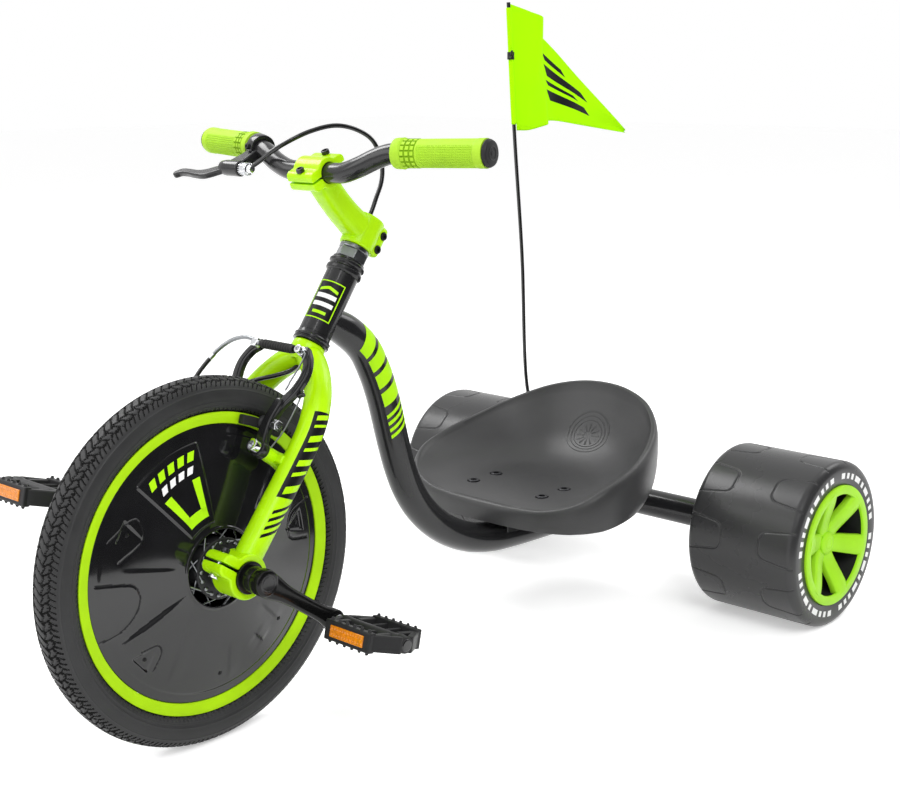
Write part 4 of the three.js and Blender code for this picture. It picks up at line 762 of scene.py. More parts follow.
def cover_relief(x, z):
    """The moulded detail of a wheel cover: step, cuts, creases, screw pockets and a raised panel."""
    r = math.hypot(x, z)
    turn = math.atan2(z, x)
    rise = -COVER_STEP_DROP * smooth_step(COVER_STEP - COVER_STEP_EDGE, COVER_STEP + COVER_STEP_EDGE, r)
    rise -= CUT_DEPTH * (1 - smooth_step(0.0, 2 * CUT_HALF, to_cuts(x, z)))
    for a, b, strength in COVER_CREASES:
        away, share, side, along = to_segment(x, z, a, b)
        if 0 < along < 1 and away < CREASE_FADE:
            ends = smooth_step(0, 0.35, share) * (1 - smooth_step(0.7, 1.0, share))
            apart = math.copysign(away, side)
            rise += strength * ends * (CREASE_RISE * crease_side(apart) - CREASE_DIP * crease_side(-apart))
    for radius, degrees in COVER_POCKETS:
        rise -= pocket_drop(x, z, radius, degrees)
    inside = between(PANEL_FROM, PANEL_TO, PANEL_TURN_EDGE, turn)
    return rise + PANEL_RISE * inside * between(PANEL_IN, PANEL_OUT, PANEL_EDGE, r)


def cover_painted_shade(x, z):
    """Whether a place lies at the bottom of a cut or along a deep crease, where the cover gets painted shade.
    """
    if to_cuts(x, z) < CUT_HALF:
        return True
    for a, b, half in COVER_SHADE_STROKES:
        away, share, _, _ = to_segment(x, z, a, b)
        if away < half * math.sin(math.pi * share) ** 0.7:
            return True
    return False


def cover_point(r, turn, lift=0.0):
    x, z = r * math.cos(turn), r * math.sin(turn)
    return x, cover_height(r) + cover_relief(x, z) + lift, z


def cover(side, matrix):
    start = COVER_OPENING + COVER_LIP_WIDTH
    lip = [(COVER_OPENING + out, COVER_OPENING_Y + up) for out, up in COVER_LIP]
    radii = [start + (COVER_EDGE - start) * k / COVER_ROWS for k in range(COVER_ROWS + 1)]
    rows = []
    for turn in turns(COVER_SIDES):
        row = [round_point(r, y, turn) for r, y in lip]
        row += [cover_point(r, turn) for r in radii]
        row.append(round_point(COVER_EDGE, COVER_EDGE_Y - COVER_HEM, turn))
        rows.append(row)
    piece = shown(f"cover_{side}", *skin(rows, closed=True), matrix, BLACK_GLOSS, "wheel_front", None)
    # Painted shade: the bottoms of the cuts and the deepest creases get the near-black material.
    painted(piece, BLACK_INK_AND_SHADE, matrix, lambda spot: cover_painted_shade(spot.x, spot.z))
    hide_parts(f"wheel_cover_{side}")
    head = turned(COVER_SCREW_PROFILE, 0.0003, 20)
    for k, (radius, degrees) in enumerate(COVER_SCREWS):
        place = shift(*cover_point(radius, math.radians(degrees)))
        shown(f"cover_screw_{side}_{k}", *moved(head, place), matrix, BLACK_INK_AND_SHADE, "wheel_front")
    cover_art(side, matrix)


def cover_patch(r0, r1, turn0, turn1, lean=0.0):
    """A thin patch on a wheel cover between two radii and two turns."""
    def place(a, b):
        return cover_point(r0 + (r1 - r0) * b, turn0 + (turn1 - turn0) * a + lean * b, ART_LIFT)

    return patch(place, 14)


def cover_art(side, matrix):
    """Plain slanted bars and a two-part lime wedge on the raised panel."""
    lean, wide = math.radians(2), math.radians(3.8)
    low, high = math.radians(55), math.radians(78.5)
    arm = math.radians(5.5)
    lime = [cover_patch(0.120, 0.129, start, start + wide, lean)
            for start in map(math.radians, range(52, 77, 6))]
    white = [cover_patch(0.108, 0.115, start, start + wide, lean)
             for start in map(math.radians, range(55, 74, 6))]
    lime.append(cover_patch(0.066, 0.102, low, low + arm, -lean))
    lime.append(cover_patch(0.066, 0.102, high - arm, high, lean))
    lime.append(cover_patch(0.060, 0.071, low, high))
    shown(f"cover_art_lime_{side}", *merge(*lime), matrix, LIME_INK, "wheel_front", None)
    shown(f"cover_art_white_{side}", *merge(*white), matrix, WHITE_INK, "wheel_front", None)


HUB_PROFILE = [
    (0.0083, 0.0445), (0.0160, 0.0445), (0.0170, 0.0435), (0.0170, 0.0365), (0.0185, 0.0352),
    (0.0322, 0.0342), (0.0330, 0.0335), (0.0330, 0.0320), (0.0322, 0.0312), (0.0318, 0.0295),
    (0.0315, 0.0270), (0.0314, 0.0),
]
SPOKE_COUNT = 18
SPOKE_RADIUS = 0.0009
SPOKE_HEAD_RADIUS = 0.0285
SPOKE_SWEEP = math.radians(72)
SPOKE_LAYERS = ((-SPOKE_SWEEP, -0.0024), (SPOKE_SWEEP, 0.0026))
SPOKE_END_RADIUS = 0.1500
SPOKE_END_Y = 0.0045
SPOKE_KNOB_PROFILE = [(0.0, 0.0042), (0.0013, 0.0040), (0.0021, 0.0030), (0.0021, 0.0016), (0.0, 0.0014)]
FLANGE_Y = 0.0325


def front_hub():
    loop = HUB_PROFILE + [(r, -y) for r, y in reversed(HUB_PROFILE[:-1])]
    piece = shown("hub_shell", *lathe(rounded(loop, 0.0008, 2), 72), AXLE, BLACK_SATIN, "wheel_front")
    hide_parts("front_hub")
    spokes = []
    knob = lathe(SPOKE_KNOB_PROFILE, 12)
    for side, flip in ((1, Matrix()), (-1, MIRROR)):
        for k in range(SPOKE_COUNT):
            head = 2 * math.pi * (k + (0.5 if side > 0 else 0)) / SPOKE_COUNT
            lean, layer = SPOKE_LAYERS[k % 2]
            x, _, z = round_point(SPOKE_HEAD_RADIUS, 0, head)
            end = round_point(SPOKE_END_RADIUS, side * SPOKE_END_Y, head + lean)
            spokes.append(rod((x, side * (FLANGE_Y + layer), z), end, SPOKE_RADIUS, 8))
            spokes.append(moved(knob, shift(x, side * FLANGE_Y, z) @ flip))
    shown("spokes", *merge(*spokes), AXLE, NUT_STEEL, "wheel_front")


# Fork
LEG_RADIUS = 0.015
LEG_ROUTE = [
    (0.0, 0.004, -0.0615), (0.0, 0.020, -0.0724), (0.0, 0.037, -0.0901), (0.0, 0.051, -0.1140),
    (0.0, 0.0595, -0.1450), (0.0015, 0.061, -0.1902), (0.0045, 0.061, -0.2452), (0.0073, 0.061, -0.3000),
]
CLAMP_RADIUS = 0.024
CLAMP_BORE = 0.0163
CLAMP_IN = 0.0455
CLAMP_OUT = 0.0765
LUG_REACH = 0.040
LUG_HALF = 0.012
SLIT_HALF = 0.0015
BRAKE_PIVOT = (0.0, 0.040, -0.187)
CLAMP_BOLT = (0.031, 0.061)
FORK_BARS = (0.822, 0.846, 0.870, 0.894)
FORK_SLOTS = [
    (0.503, 0.022), (0.546, 0.012), (0.589, 0.022), (0.632, 0.012), (0.675, 0.022), (0.718, 0.012),
    (0.761, 0.022),
]


def arc(radius, start, end, steps, centre=(0.0, 0.0)):
    return [(centre[0] + radius * math.cos(start + (end - start) * k / steps),
             centre[1] + radius * math.sin(start + (end - start) * k / steps)) for k in range(steps + 1)]


def clamp_outline():
    foot = math.asin(LUG_HALF / CLAMP_RADIUS)
    lip = math.asin(SLIT_HALF / CLAMP_BORE)
    soft = 0.0085
    return [
        (LUG_REACH, SLIT_HALF), *arc(soft, 0, math.pi / 2, 5, (LUG_REACH - soft, LUG_HALF - soft)),
        *arc(CLAMP_RADIUS, foot, 2 * math.pi - foot, 56),
        *arc(soft, -math.pi / 2, 0, 5, (LUG_REACH - soft, soft - LUG_HALF)), (LUG_REACH, -SLIT_HALF),
        *arc(CLAMP_BORE, 2 * math.pi - lip, lip, 48),
    ]


STEERER_PROFILE = [(0.0118, -0.0716), (0.0143, -0.0716), (0.0143, 0.1108), (0.0118, 0.1108)]
CROWN_PROFILE = [
    (0.0, -0.0725), (0.0135, -0.0722), (0.0176, -0.0660), (0.0188, -0.0600), (0.0186, -0.0530),
    (0.0176, -0.0500), (0.0143, -0.0499),
]
BOSS_PROFILE = [(0.0, 0.0), (0.0100, 0.0), (0.0084, 0.012), (0.0080, 0.0290), (0.0072, 0.0300), (0.0, 0.0300)]


def fork():
    leg = both("fork_leg", tube(LEG_ROUTE, LEG_RADIUS, 40, 10), HEAD, LIME, "steering")[0]
    shown("fork_crown", *to_z(lathe(CROWN_PROFILE, 56)), HEAD, LIME, "steering")
    shown("steerer", *to_z(ring(STEERER_PROFILE, 56)), HEAD, LIME, "steering")
    for made in both("fork_clamp", prism(clamp_outline(), CLAMP_IN, CLAMP_OUT), AXLE, LIME, "steering"):
        bevelled(made, 0.0030, 4)
    boss = moved(to_x(turned(BOSS_PROFILE, 0.001, 32)), shift(*BRAKE_PIVOT))
    web = moved(block((-0.004, 0.018), (0.000, 0.018), (-0.005, 0.005)), shift(*BRAKE_PIVOT))
    both("brake_boss", boss, HEAD, LIME, "steering")
    for made in both("brake_boss_web", web, HEAD, LIME, "steering"):
        bevelled(made, 0.0025, 4)
    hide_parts("fork")
    x, y = CLAMP_BOLT
    bolt = moved(to_z(socket_head(0.0048, 0.005)), shift(x, y, LUG_HALF))
    nut = moved(to_z(moved(cylinder(0.0052, 0.0, 0.004, 6), MIRROR)), shift(x, y, -LUG_HALF))
    both("clamp_bolt", bolt, AXLE, DARK_STEEL, "steering")
    both("clamp_nut", nut, AXLE, CHROME, "steering", None)
    shank = moved(to_z(cylinder(0.0025, -LUG_HALF, LUG_HALF, 16)), shift(x, y, 0))
    both("clamp_shank", shank, AXLE, CHROME, "steering")
    fork_art()


def leg_patch(share0, share1, turn0, turn1, skew, lift=0.00018):
    """A thin patch on the left leg between shares of its length and turns round it."""
    return route_patch(LEG_ROUTE, 40, LEG_RADIUS + lift, (share0, share1), (turn0, turn1), skew, 20)


def fork_art():
    """A plain black panel down the outer side of each leg with slanted bars at its foot."""
    low, high = math.radians(-48), math.radians(50)
    panel = leg_patch(0.49, 0.80, low, high, 0.02)
    bars = [leg_patch(start, start + 0.011, low, high - math.radians(16), 0.05) for start in FORK_BARS]
    both("fork_art", merge(panel, *bars), HEAD, BLACK_INK_AND_SHADE, "steering", None)
    slots = [leg_patch(start, start + wide, math.radians(-30), math.radians(34), 0.03, lift=0.00034)
             for start, wide in FORK_SLOTS]
    both("fork_art_bars", merge(*slots), HEAD, LIME, "steering", None)


# Head tube, headset and frame tubes
HEAD_TUBE_PROFILE = [(0.0166, -0.037), (0.0185, -0.037), (0.0185, 0.037), (0.0166, 0.037)]
LOWER_CUP_PROFILE = [
    (0.0150, -0.0493), (0.0200, -0.0493), (0.0208, -0.0487), (0.0208, -0.0470), (0.0197, -0.0460),
    (0.0200, -0.0452), (0.0208, -0.0444), (0.0208, -0.0425), (0.0192, -0.0410), (0.0187, -0.0385),
    (0.0186, -0.0373), (0.0150, -0.0373),
]
UPPER_CUP_PROFILE = [
    (0.0150, 0.0373), (0.0186, 0.0373), (0.0200, 0.0385), (0.0208, 0.0400), (0.0208, 0.0432),
    (0.0202, 0.0440), (0.0188, 0.0452), (0.0188, 0.0470), (0.0200, 0.0480), (0.0207, 0.0490),
    (0.0207, 0.0512), (0.0198, 0.0522), (0.0187, 0.0530), (0.0186, 0.0552), (0.0150, 0.0553),
]
NUT_BOTTOM = 0.0556
NUT_TOP = 0.0676
SPACER_TOP = 0.0726
NUT_RADIUS = 0.018
SPACER_RADIUS = 0.0172
SPACER_PROFILE = [
    (0.0145, NUT_TOP), (SPACER_RADIUS, NUT_TOP), (SPACER_RADIUS, SPACER_TOP), (0.0145, SPACER_TOP),
]
MAIN_RADIUS = 0.0192
MAIN_NARROWS = 0.0024
MAIN_NARROW_SHARE = 0.07
MAIN_ROUTE = [
    (0.5660, 0, 0.4339), (0.5350, 0, 0.4170), (0.5085, 0, 0.3940), (0.4919, 0, 0.3658), (0.4790, 0, 0.3335),
    (0.4699, 0, 0.3022), (0.4617, 0, 0.2728), (0.4519, 0, 0.2428), (0.4393, 0, 0.2146), (0.4215, 0, 0.1880),
    (0.3969, 0, 0.1634), (0.3665, 0, 0.1427), (0.3296, 0, 0.1264), (0.2897, 0, 0.1170), (0.2450, 0, 0.1135),
    (0.1600, 0, 0.1110), (0.0, 0, 0.1080),
]
AXLE_TUBE_RADIUS = 0.019
AXLE_TUBE_HALF = 0.168
SHOULDER_RADIUS = 0.009
SHOULDER_END = 0.1766


def head_parts():
    piece = shown("head_tube", *to_z(ring(HEAD_TUBE_PROFILE, 72)), HEAD, BLACK, "frame")
    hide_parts("frame_head_tube")
    for name, profile in (("lower", LOWER_CUP_PROFILE), ("upper", UPPER_CUP_PROFILE)):
        made = shown(f"cup_{name}", *to_z(ring(profile, 72)), HEAD, BLACK, "frame")
        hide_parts(f"headset_cup_{name}")
    nut = prism(hexagon(NUT_RADIUS), NUT_BOTTOM, NUT_TOP)
    made = bevelled(shown("locknut", *to_z(nut), HEAD, NUT_STEEL, "steering"), 0.0009)
    shown("locknut_ring", *to_z(turned(SPACER_PROFILE, 0.001, 56)), HEAD, NUT_STEEL, "steering")
    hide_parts("headset_locknut")
    badge()


BADGE_RADIUS = 0.0187
BADGE_HALF_TURN = math.radians(50)
BADGE_CENTRE = math.radians(28)
BADGE_SPAN = (-0.024, 0.022)
BADGE_EDGE = 0.0013


def badge_patch(low, high, start, end, lift=ART_LIFT, fold=0.0):
    """A strip round the head tube between two heights and two shares of the badge's half width."""
    steps = 16
    rows = []
    for i in range(steps + 1):
        turn = BADGE_CENTRE + BADGE_HALF_TURN * (start + (end - start) * i / steps)
        x, _, y = round_point(BADGE_RADIUS + lift, 0, turn)
        drop = fold * abs(2 * i / steps - 1)
        rows.append([(x, y, low - drop), (x, y, high - drop)])
    return skin(rows)


def badge():
    """A plain badge on the front of the head tube: a black field, a lime edge and plain stripes."""
    low, high = BADGE_SPAN
    edge = [badge_patch(low, low + BADGE_EDGE, -1, 1), badge_patch(high - BADGE_EDGE, high, -1, 1),
            badge_patch(low, high, -1, -0.92), badge_patch(low, high, 0.92, 1),
            badge_patch(0.0120, 0.0155, -0.7, 0.7, fold=0.003), badge_patch(-0.0180, -0.0145, -0.5, 0.5)]
    white = [badge_patch(0.0010, 0.0062, -0.75, 0.75), badge_patch(-0.0090, -0.0040, -0.75, 0.75)]
    shown("badge", *badge_patch(low, high, -1, 1, lift=0.0), HEAD, BLACK_INK_AND_SHADE, "frame", None)
    shown("badge_edge", *merge(*edge), HEAD, LIME_INK, "frame", None)
    shown("badge_marks", *merge(*white), HEAD, WHITE_INK, "frame", None)


def main_radius(share):
    """The main tube narrows where it runs into the head tube."""
    return MAIN_RADIUS - MAIN_NARROWS * (1 - smooth_step(0.0, MAIN_NARROW_SHARE, share))


def frame_tubes():
    *route, (x, y, z) = MAIN_ROUTE
    route.append((x + AXLE_TUBE_RADIUS * 0.6, y, z))
    piece = shown("main_tube", *tube(route, main_radius, 48, 10), BASE, BLACK, "frame")
    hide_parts("frame_main_tube")
    axle = cylinder(AXLE_TUBE_RADIUS, AXLE_TUBE_HALF, -AXLE_TUBE_HALF, 56, 0.002)
    made = shown("axle_tube", *axle, REAR, BLACK, "frame")
    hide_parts("frame_axle_tube")
    stub = cylinder(SHOULDER_RADIUS, AXLE_TUBE_HALF - 0.002, SHOULDER_END, 32)
    both("axle_stub", stub, REAR, DARK_STEEL, "frame")
    frame_art()


def main_patch(share0, share1, turn0, turn1, skew):
    """A thin patch on the main tube between shares of its length and turns round it."""
    return route_patch(MAIN_ROUTE, 20, MAIN_RADIUS + 0.00022, (share0, share1), (turn0, turn1), skew, 24)


def frame_art():
    """A lime panel of plain blocks and slanted bars on each side of the upper curve."""
    for name, middle, mirror in (("left", 0.0, 1), ("right", math.pi, -1)):
        low, high = middle - mirror * math.radians(58), middle + mirror * math.radians(42)
        patches = []
        for first, pitch, wide, skew in ((0.088, 0.044, 0.033, 0.02), (0.270, 0.017, 0.0085, 0.03)):
            for k in range(4):
                start = first + pitch * k
                patches.append(main_patch(start, start + wide, low, high, skew))
        shown(f"frame_art_{name}", *merge(*patches), BASE, LIME_INK, "frame", None)


# Handlebar, grips and stem
BAR_RADIUS = 0.0111
BAR_HALF_ROUTE = [
    (0.0949, 0.0, 0.1122), (0.0949, 0.0241, 0.1122), (0.0965, 0.0441, 0.1126), (0.0993, 0.0660, 0.1190),
    (0.1010, 0.0881, 0.1295), (0.1006, 0.1030, 0.1354), (0.0986, 0.1180, 0.1382), (0.0913, 0.1675, 0.1451),
    (0.0840, 0.2170, 0.1520),
]
GRIP_RADIUS = 0.015
GRIP_START = 0.112
CAP_RADIUS = 0.0142
CAP_PROFILE = [
    (0.0, 0.0004), (CAP_RADIUS, 0.0004), (CAP_RADIUS + 0.0004, 0.0025), (CAP_RADIUS - 0.0012, 0.0058),
    (0.0, 0.0060),
]


def bar_place():
    """The left bar end as a place whose Y runs out along the bar, and that direction."""
    start, end = Vector(BAR_HALF_ROUTE[6]), Vector(BAR_HALF_ROUTE[-1])
    return Matrix.Translation(end) @ along_y(end - start), (end - start).normalized()


GRIP_COLLAR = 0.009
GRIP_COLLAR_RADIUS = 0.0158
GRIP_SQUARES_FROM = GRIP_COLLAR + 0.002
GRIP_SQUARES_TO = GRIP_SQUARES_FROM + 0.018
GRIP_SQUARES_ROUND = 16
GRIP_DOTS_FROM = GRIP_SQUARES_TO + 0.002
GRIP_SQUARE_PITCH = 0.0060
GRIP_DOT_ROUND = 36
GRIP_DOT_ALONG = 0.0026
GRIP_CUFF = 0.010
GRIP_ROUGH_TURN = math.radians(300)
GRIP_ROUGH_HALF = math.radians(62)
GRIP_RISE = 0.0011
GRIP_STEP = 0.00075
GRIP_SIDES = 192
GRIP_BORE = 0.0112


def grip_rise(away, turn, length):
    """The grip's relief: squares by the collar, fine dots on its lower half and a smooth cuff by the cap."""
    if GRIP_SQUARES_FROM < away < GRIP_SQUARES_TO:
        across = (turn / (2 * math.pi) * GRIP_SQUARES_ROUND) % 1
        along = ((away - GRIP_SQUARES_FROM) / GRIP_SQUARE_PITCH) % 1
        return GRIP_RISE if 0.14 < across < 0.86 and 0.14 < along < 0.82 else 0.0
    if away > length - GRIP_CUFF:
        return GRIP_RISE * (0.7 + 0.3 * smooth_step(length - GRIP_CUFF, length - GRIP_CUFF + 0.0015, away))
    if away > GRIP_DOTS_FROM and abs(turn - GRIP_ROUGH_TURN) < GRIP_ROUGH_HALF:
        across = (turn / (2 * math.pi) * GRIP_DOT_ROUND) % 1
        along = (away / GRIP_DOT_ALONG) % 1
        return GRIP_RISE * 0.7 if 0.22 < across < 0.82 and 0.2 < along < 0.86 else 0.0
    return GRIP_RISE * 0.7


def grip_shell(length):
    """A soft grip from its inner collar to the cap."""
    steps = int(length / GRIP_STEP)
    profile = []
    for i in range(steps + 1):
        y = -length + length * i / steps
        away = y + length
        if away < GRIP_COLLAR:
            base = GRIP_COLLAR_RADIUS + 0.0004 * math.sin(math.pi * away / GRIP_COLLAR)
        else:
            base = GRIP_RADIUS - 0.0009 + 0.0016 * math.exp(-(away - GRIP_COLLAR) / 0.0015)
        profile.append((y, away, base))
    rows = [[round_point(base + (grip_rise(away, turn, length) if away > GRIP_COLLAR else 0.0), y, turn)
             for y, away, base in profile] for turn in turns(GRIP_SIDES)]
    verts, faces = skin(rows, closed=True)
    count = len(profile)
    for y, outer in ((-length, 0), (0.0, count - 1)):
        first = len(verts)
        verts += [round_point(GRIP_BORE, y, turn) for turn in turns(GRIP_SIDES)]
        for i in range(GRIP_SIDES):
            j = (i + 1) % GRIP_SIDES
            faces.append([first + i, first + j, j * count + outer, i * count + outer])
    return verts, faces


def handlebar():
    route = [(x, -y, z) for x, y, z in reversed(BAR_HALF_ROUTE[1:])] + BAR_HALF_ROUTE
    piece = shown("bar", *tube(route, BAR_RADIUS, 40, 10, side=(0, 0, 1)), HEAD, BLACK, "steering")
    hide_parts("handlebar")
    place, run = bar_place()
    length = (BAR_HALF_ROUTE[-1][1] - GRIP_START) / run.y

    # Faces in the sunken gaps between the raised squares, which get painted shade.
    def shaded_between_squares(spot):
        away = spot.y + length
        turn = math.atan2(spot.z, spot.x) % (2 * math.pi)
        return GRIP_SQUARES_FROM - 0.0005 < away < GRIP_DOTS_FROM and grip_rise(away, turn, length) == 0.0

    cap = turned(CAP_PROFILE, 0.0009, 48)
    rings = turned([(0.0060, 0.0060), (0.0068, 0.0064), (0.0076, 0.0060)], 0.0003, 40)
    dot = turned([(0.0, 0.0064), (0.0026, 0.0064), (0.0030, 0.0058)], 0.0003, 32)
    for side, flip in SIDES:
        there = HEAD @ flip @ place
        made = shown(f"grip_skin_{side}", *grip_shell(length), there, LIME_RUBBER, "steering")
        # Painted shade: the gaps between the grip's raised squares get a darker lime.
        painted(made, LIME_GAP_SHADE, there, shaded_between_squares)
        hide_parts(f"grip_{side}")
        made = shown(f"bar_cap_{side}", *merge(cap, rings, dot), there, BLACK_SATIN, "steering")
        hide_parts(f"grip_cap_{side}")


FACE_ANGLE = math.radians(29)
FACE = shift(0.0949, 0, 0.1122) @ Matrix.Rotation(-FACE_ANGLE, 4, "Y")
FACE_RADIUS = 0.017
FACE_HALF_WIDTH = 0.020
EAR_REACH = 0.026
EAR_DEPTH = 0.011
FACE_SLIT = 0.0012
BAR_BORE = 0.0114
BOLT_REACH = 0.0205
LUG_FACE = 0.0145
LUG_BOLTS = (0.0997, 0.0825)
LUG_BOLT_X = -0.0185
COLLAR_PROFILE = [
    (0.0148, 0.1109), (0.0180, 0.1109), (0.0195, 0.1095), (0.0195, 0.0743), (0.0180, 0.0729),
    (0.0148, 0.0729),
]
STEM_SECTIONS = [
    (0.004, 0.0930, 0.0170, 0.0165, 0.0), (0.020, 0.0945, 0.0158, 0.0150, 4.0),
    (0.040, 0.0970, 0.0150, 0.0148, 8.0), (0.060, 0.1010, 0.0145, 0.0150, 12.0),
    (0.078, 0.1060, 0.0140, 0.0158, 16.0), (0.092, 0.1110, 0.0138, 0.0162, 20.0),
]


def loft(sections):
    """A bar through rounded-box sections, each (x, z, half height, half width, tilt in degrees)."""
    rows = []
    for x, z, high, wide, tilt in sections:
        lean = math.radians(tilt)
        rows.append([(x - high * up * math.sin(lean), wide * across, z + high * up * math.cos(lean))
                     for across, up in soft_box(40, 3.2)])
    return skin(rows, looped=True, caps=True)


def finer(sections, per=5):
    """The same sections with more between them, on a smooth line."""
    flat = smooth_line([s[:3] for s in sections], per)
    rest = smooth_line([(s[3], s[4] / 1000, 0) for s in sections], per)
    return [(a.x, a.y, a.z, b.x, b.y * 1000) for a, b in zip(flat, rest)]


def half_clamp(sign):
    """One half of the bar clamp: a half ring with two ears, sign +1 for the faceplate."""
    inner = math.acos(FACE_SLIT / BAR_BORE)
    z_ear = math.sqrt(FACE_RADIUS ** 2 - EAR_DEPTH ** 2)
    lean = math.atan2(z_ear, EAR_DEPTH)
    soft = 0.0055
    outline = [
        (FACE_SLIT, EAR_REACH), *reversed(arc(soft, 0, math.pi / 2, 4, (EAR_DEPTH - soft, EAR_REACH - soft))),
        (EAR_DEPTH, z_ear + 0.001), *arc(FACE_RADIUS, lean, -lean, 24), (EAR_DEPTH, -z_ear - 0.001),
        *arc(soft, 0, -math.pi / 2, 4, (EAR_DEPTH - soft, soft - EAR_REACH)), (FACE_SLIT, -EAR_REACH),
        *arc(BAR_BORE, -inner, inner, 24),
    ]
    return [(sign * x, z) for x, z in outline]


def stem():
    neck = shown("stem_neck", *loft(finer(STEM_SECTIONS)), HEAD, LIME, "steering")
    shown("stem_collar", *to_z(turned(COLLAR_PROFILE, 0.0012, 64)), HEAD, LIME, "steering")
    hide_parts("stem")
    lug = block((-0.0250, -0.008), (0.0010, LUG_FACE), (0.0733, 0.1105))
    seat_y = LUG_FACE - 0.003
    for side, flip in SIDES:
        made = bevelled(shown(f"stem_lug_{side}", *moved(lug, flip), HEAD, LIME, "steering"), 0.0055, 5)
        wells = [moved(cylinder(0.0052, seat_y, 0.03, 32), flip @ shift(LUG_BOLT_X, 0, z)) for z in LUG_BOLTS]
        cut_by(made, wells, HEAD)
    for k, z in enumerate(LUG_BOLTS):
        head = moved(socket_head(0.0044, 0.0045), shift(LUG_BOLT_X, seat_y, z))
        shown(f"stem_bolt_{k}", *head, HEAD, DARK_STEEL, "steering")
        shank = rod((LUG_BOLT_X, -seat_y, z), (LUG_BOLT_X, seat_y, z), 0.0025)
        shown(f"stem_bolt_shank_{k}", *shank, HEAD, CHROME, "steering")
    socket, face = [prism(half_clamp(sign), -FACE_HALF_WIDTH, FACE_HALF_WIDTH) for sign in (-1, 1)]
    bevelled(shown("stem_socket", *socket, HEAD @ FACE, LIME, "steering"), 0.0022)
    plate = bevelled(shown("clamp_face", *face, HEAD @ FACE, LIME, "steering"), 0.0022)
    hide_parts("stem_faceplate")
    for name, end in (("upper", 1), ("lower", -1)):
        head = moved(to_x(socket_head(0.0045, 0.0046)), shift(EAR_DEPTH, 0, end * BOLT_REACH))
        made = shown(f"face_bolt_{name}", *head, HEAD @ FACE, DARK_STEEL, "steering")
        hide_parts(f"faceplate_bolt_{name}")


# Brake lever
PERCH = Vector((0.1006, -0.1030, 0.1354))
LEVER = HEAD @ Matrix.Translation(PERCH) @ Matrix.Rotation(math.radians(68), 4, "Y") @ MIRROR
LEVER_PIVOT = (0.041, 0.019)
BLADE = [
    (0.0410, 0.0190), (0.0470, 0.0300), (0.0535, 0.0430), (0.0550, 0.0570), (0.0536, 0.0740),
    (0.0540, 0.0855), (0.0580, 0.0915),
]
BLADE_HALVES = [0.0055, 0.0065, 0.0065, 0.0050, 0.0045, 0.0045, 0.0040]
PERCH_LINE = [(0.008, -0.001), (0.024, 0.002), (0.036, 0.008)]
PERCH_HALVES = [0.0075, 0.0090, 0.0105]
PERCH_CLAMP_PROFILE = [
    (0.0114, -0.0065), (0.0152, -0.0065), (0.0155, 0.0), (0.0152, 0.0065), (0.0114, 0.0065),
]
BARREL_PROFILE = [
    (0.0, -0.0070), (0.0080, -0.0070), (0.0090, -0.0055), (0.0090, 0.0180), (0.0078, 0.0262), (0.0, 0.0270),
]
ADJUSTER_PROFILE = [
    (0.0, -0.0250), (0.0040, -0.0250), (0.0044, -0.0200), (0.0066, -0.0192), (0.0066, -0.0078),
    (0.0, -0.0070),
]
LEVER_PIN_PROFILE = [
    (0.0, -0.0066), (0.0042, -0.0066), (0.0042, -0.0050), (0.0026, -0.0048), (0.0026, 0.0048),
    (0.0042, 0.0050), (0.0042, 0.0066), (0.0, 0.0066),
]


def ribbon(points, halves, per=6):
    """The outline of a flat bar with round ends about a smooth line, as (x, y) points."""
    line = smooth_line([(x, y, w) for (x, y), w in zip(points, halves)], per)
    left, right = [], []
    for i, p in enumerate(line):
        along = (line[min(i + 1, len(line) - 1)] - line[max(i - 1, 0)])
        along = Vector((along.x, along.y)).normalized()
        left.append((p.x - along.y * p.z, p.y + along.x * p.z))
        right.insert(0, (p.x + along.y * p.z, p.y - along.x * p.z))

    def round_end(tip, inner):
        run = Vector((tip.x - inner.x, tip.y - inner.y)).normalized()
        side = Vector((-run.y, run.x))
        spots = []
        for k in range(1, 8):
            turn = math.pi * k / 8
            spot = Vector((tip.x, tip.y)) + side * (tip.z * math.cos(turn)) + run * (tip.z * math.sin(turn))
            spots.append((spot.x, spot.y))
        return spots

    return left + round_end(line[-1], line[-2]) + right + round_end(line[0], line[1])


def flat_bar(points, halves, low, high, per=6):
    """A flat bar in the plane of X and Y between two heights."""
    outline = ribbon(points, halves, per)
    count = len(outline)
    verts = [(x, y, low) for x, y in outline] + [(x, y, high) for x, y in outline]
    faces = [list(range(count))[::-1], list(range(count, 2 * count))]
    faces += [[i, (i + 1) % count, (i + 1) % count + count, i + count] for i in range(count)]
    return verts, faces


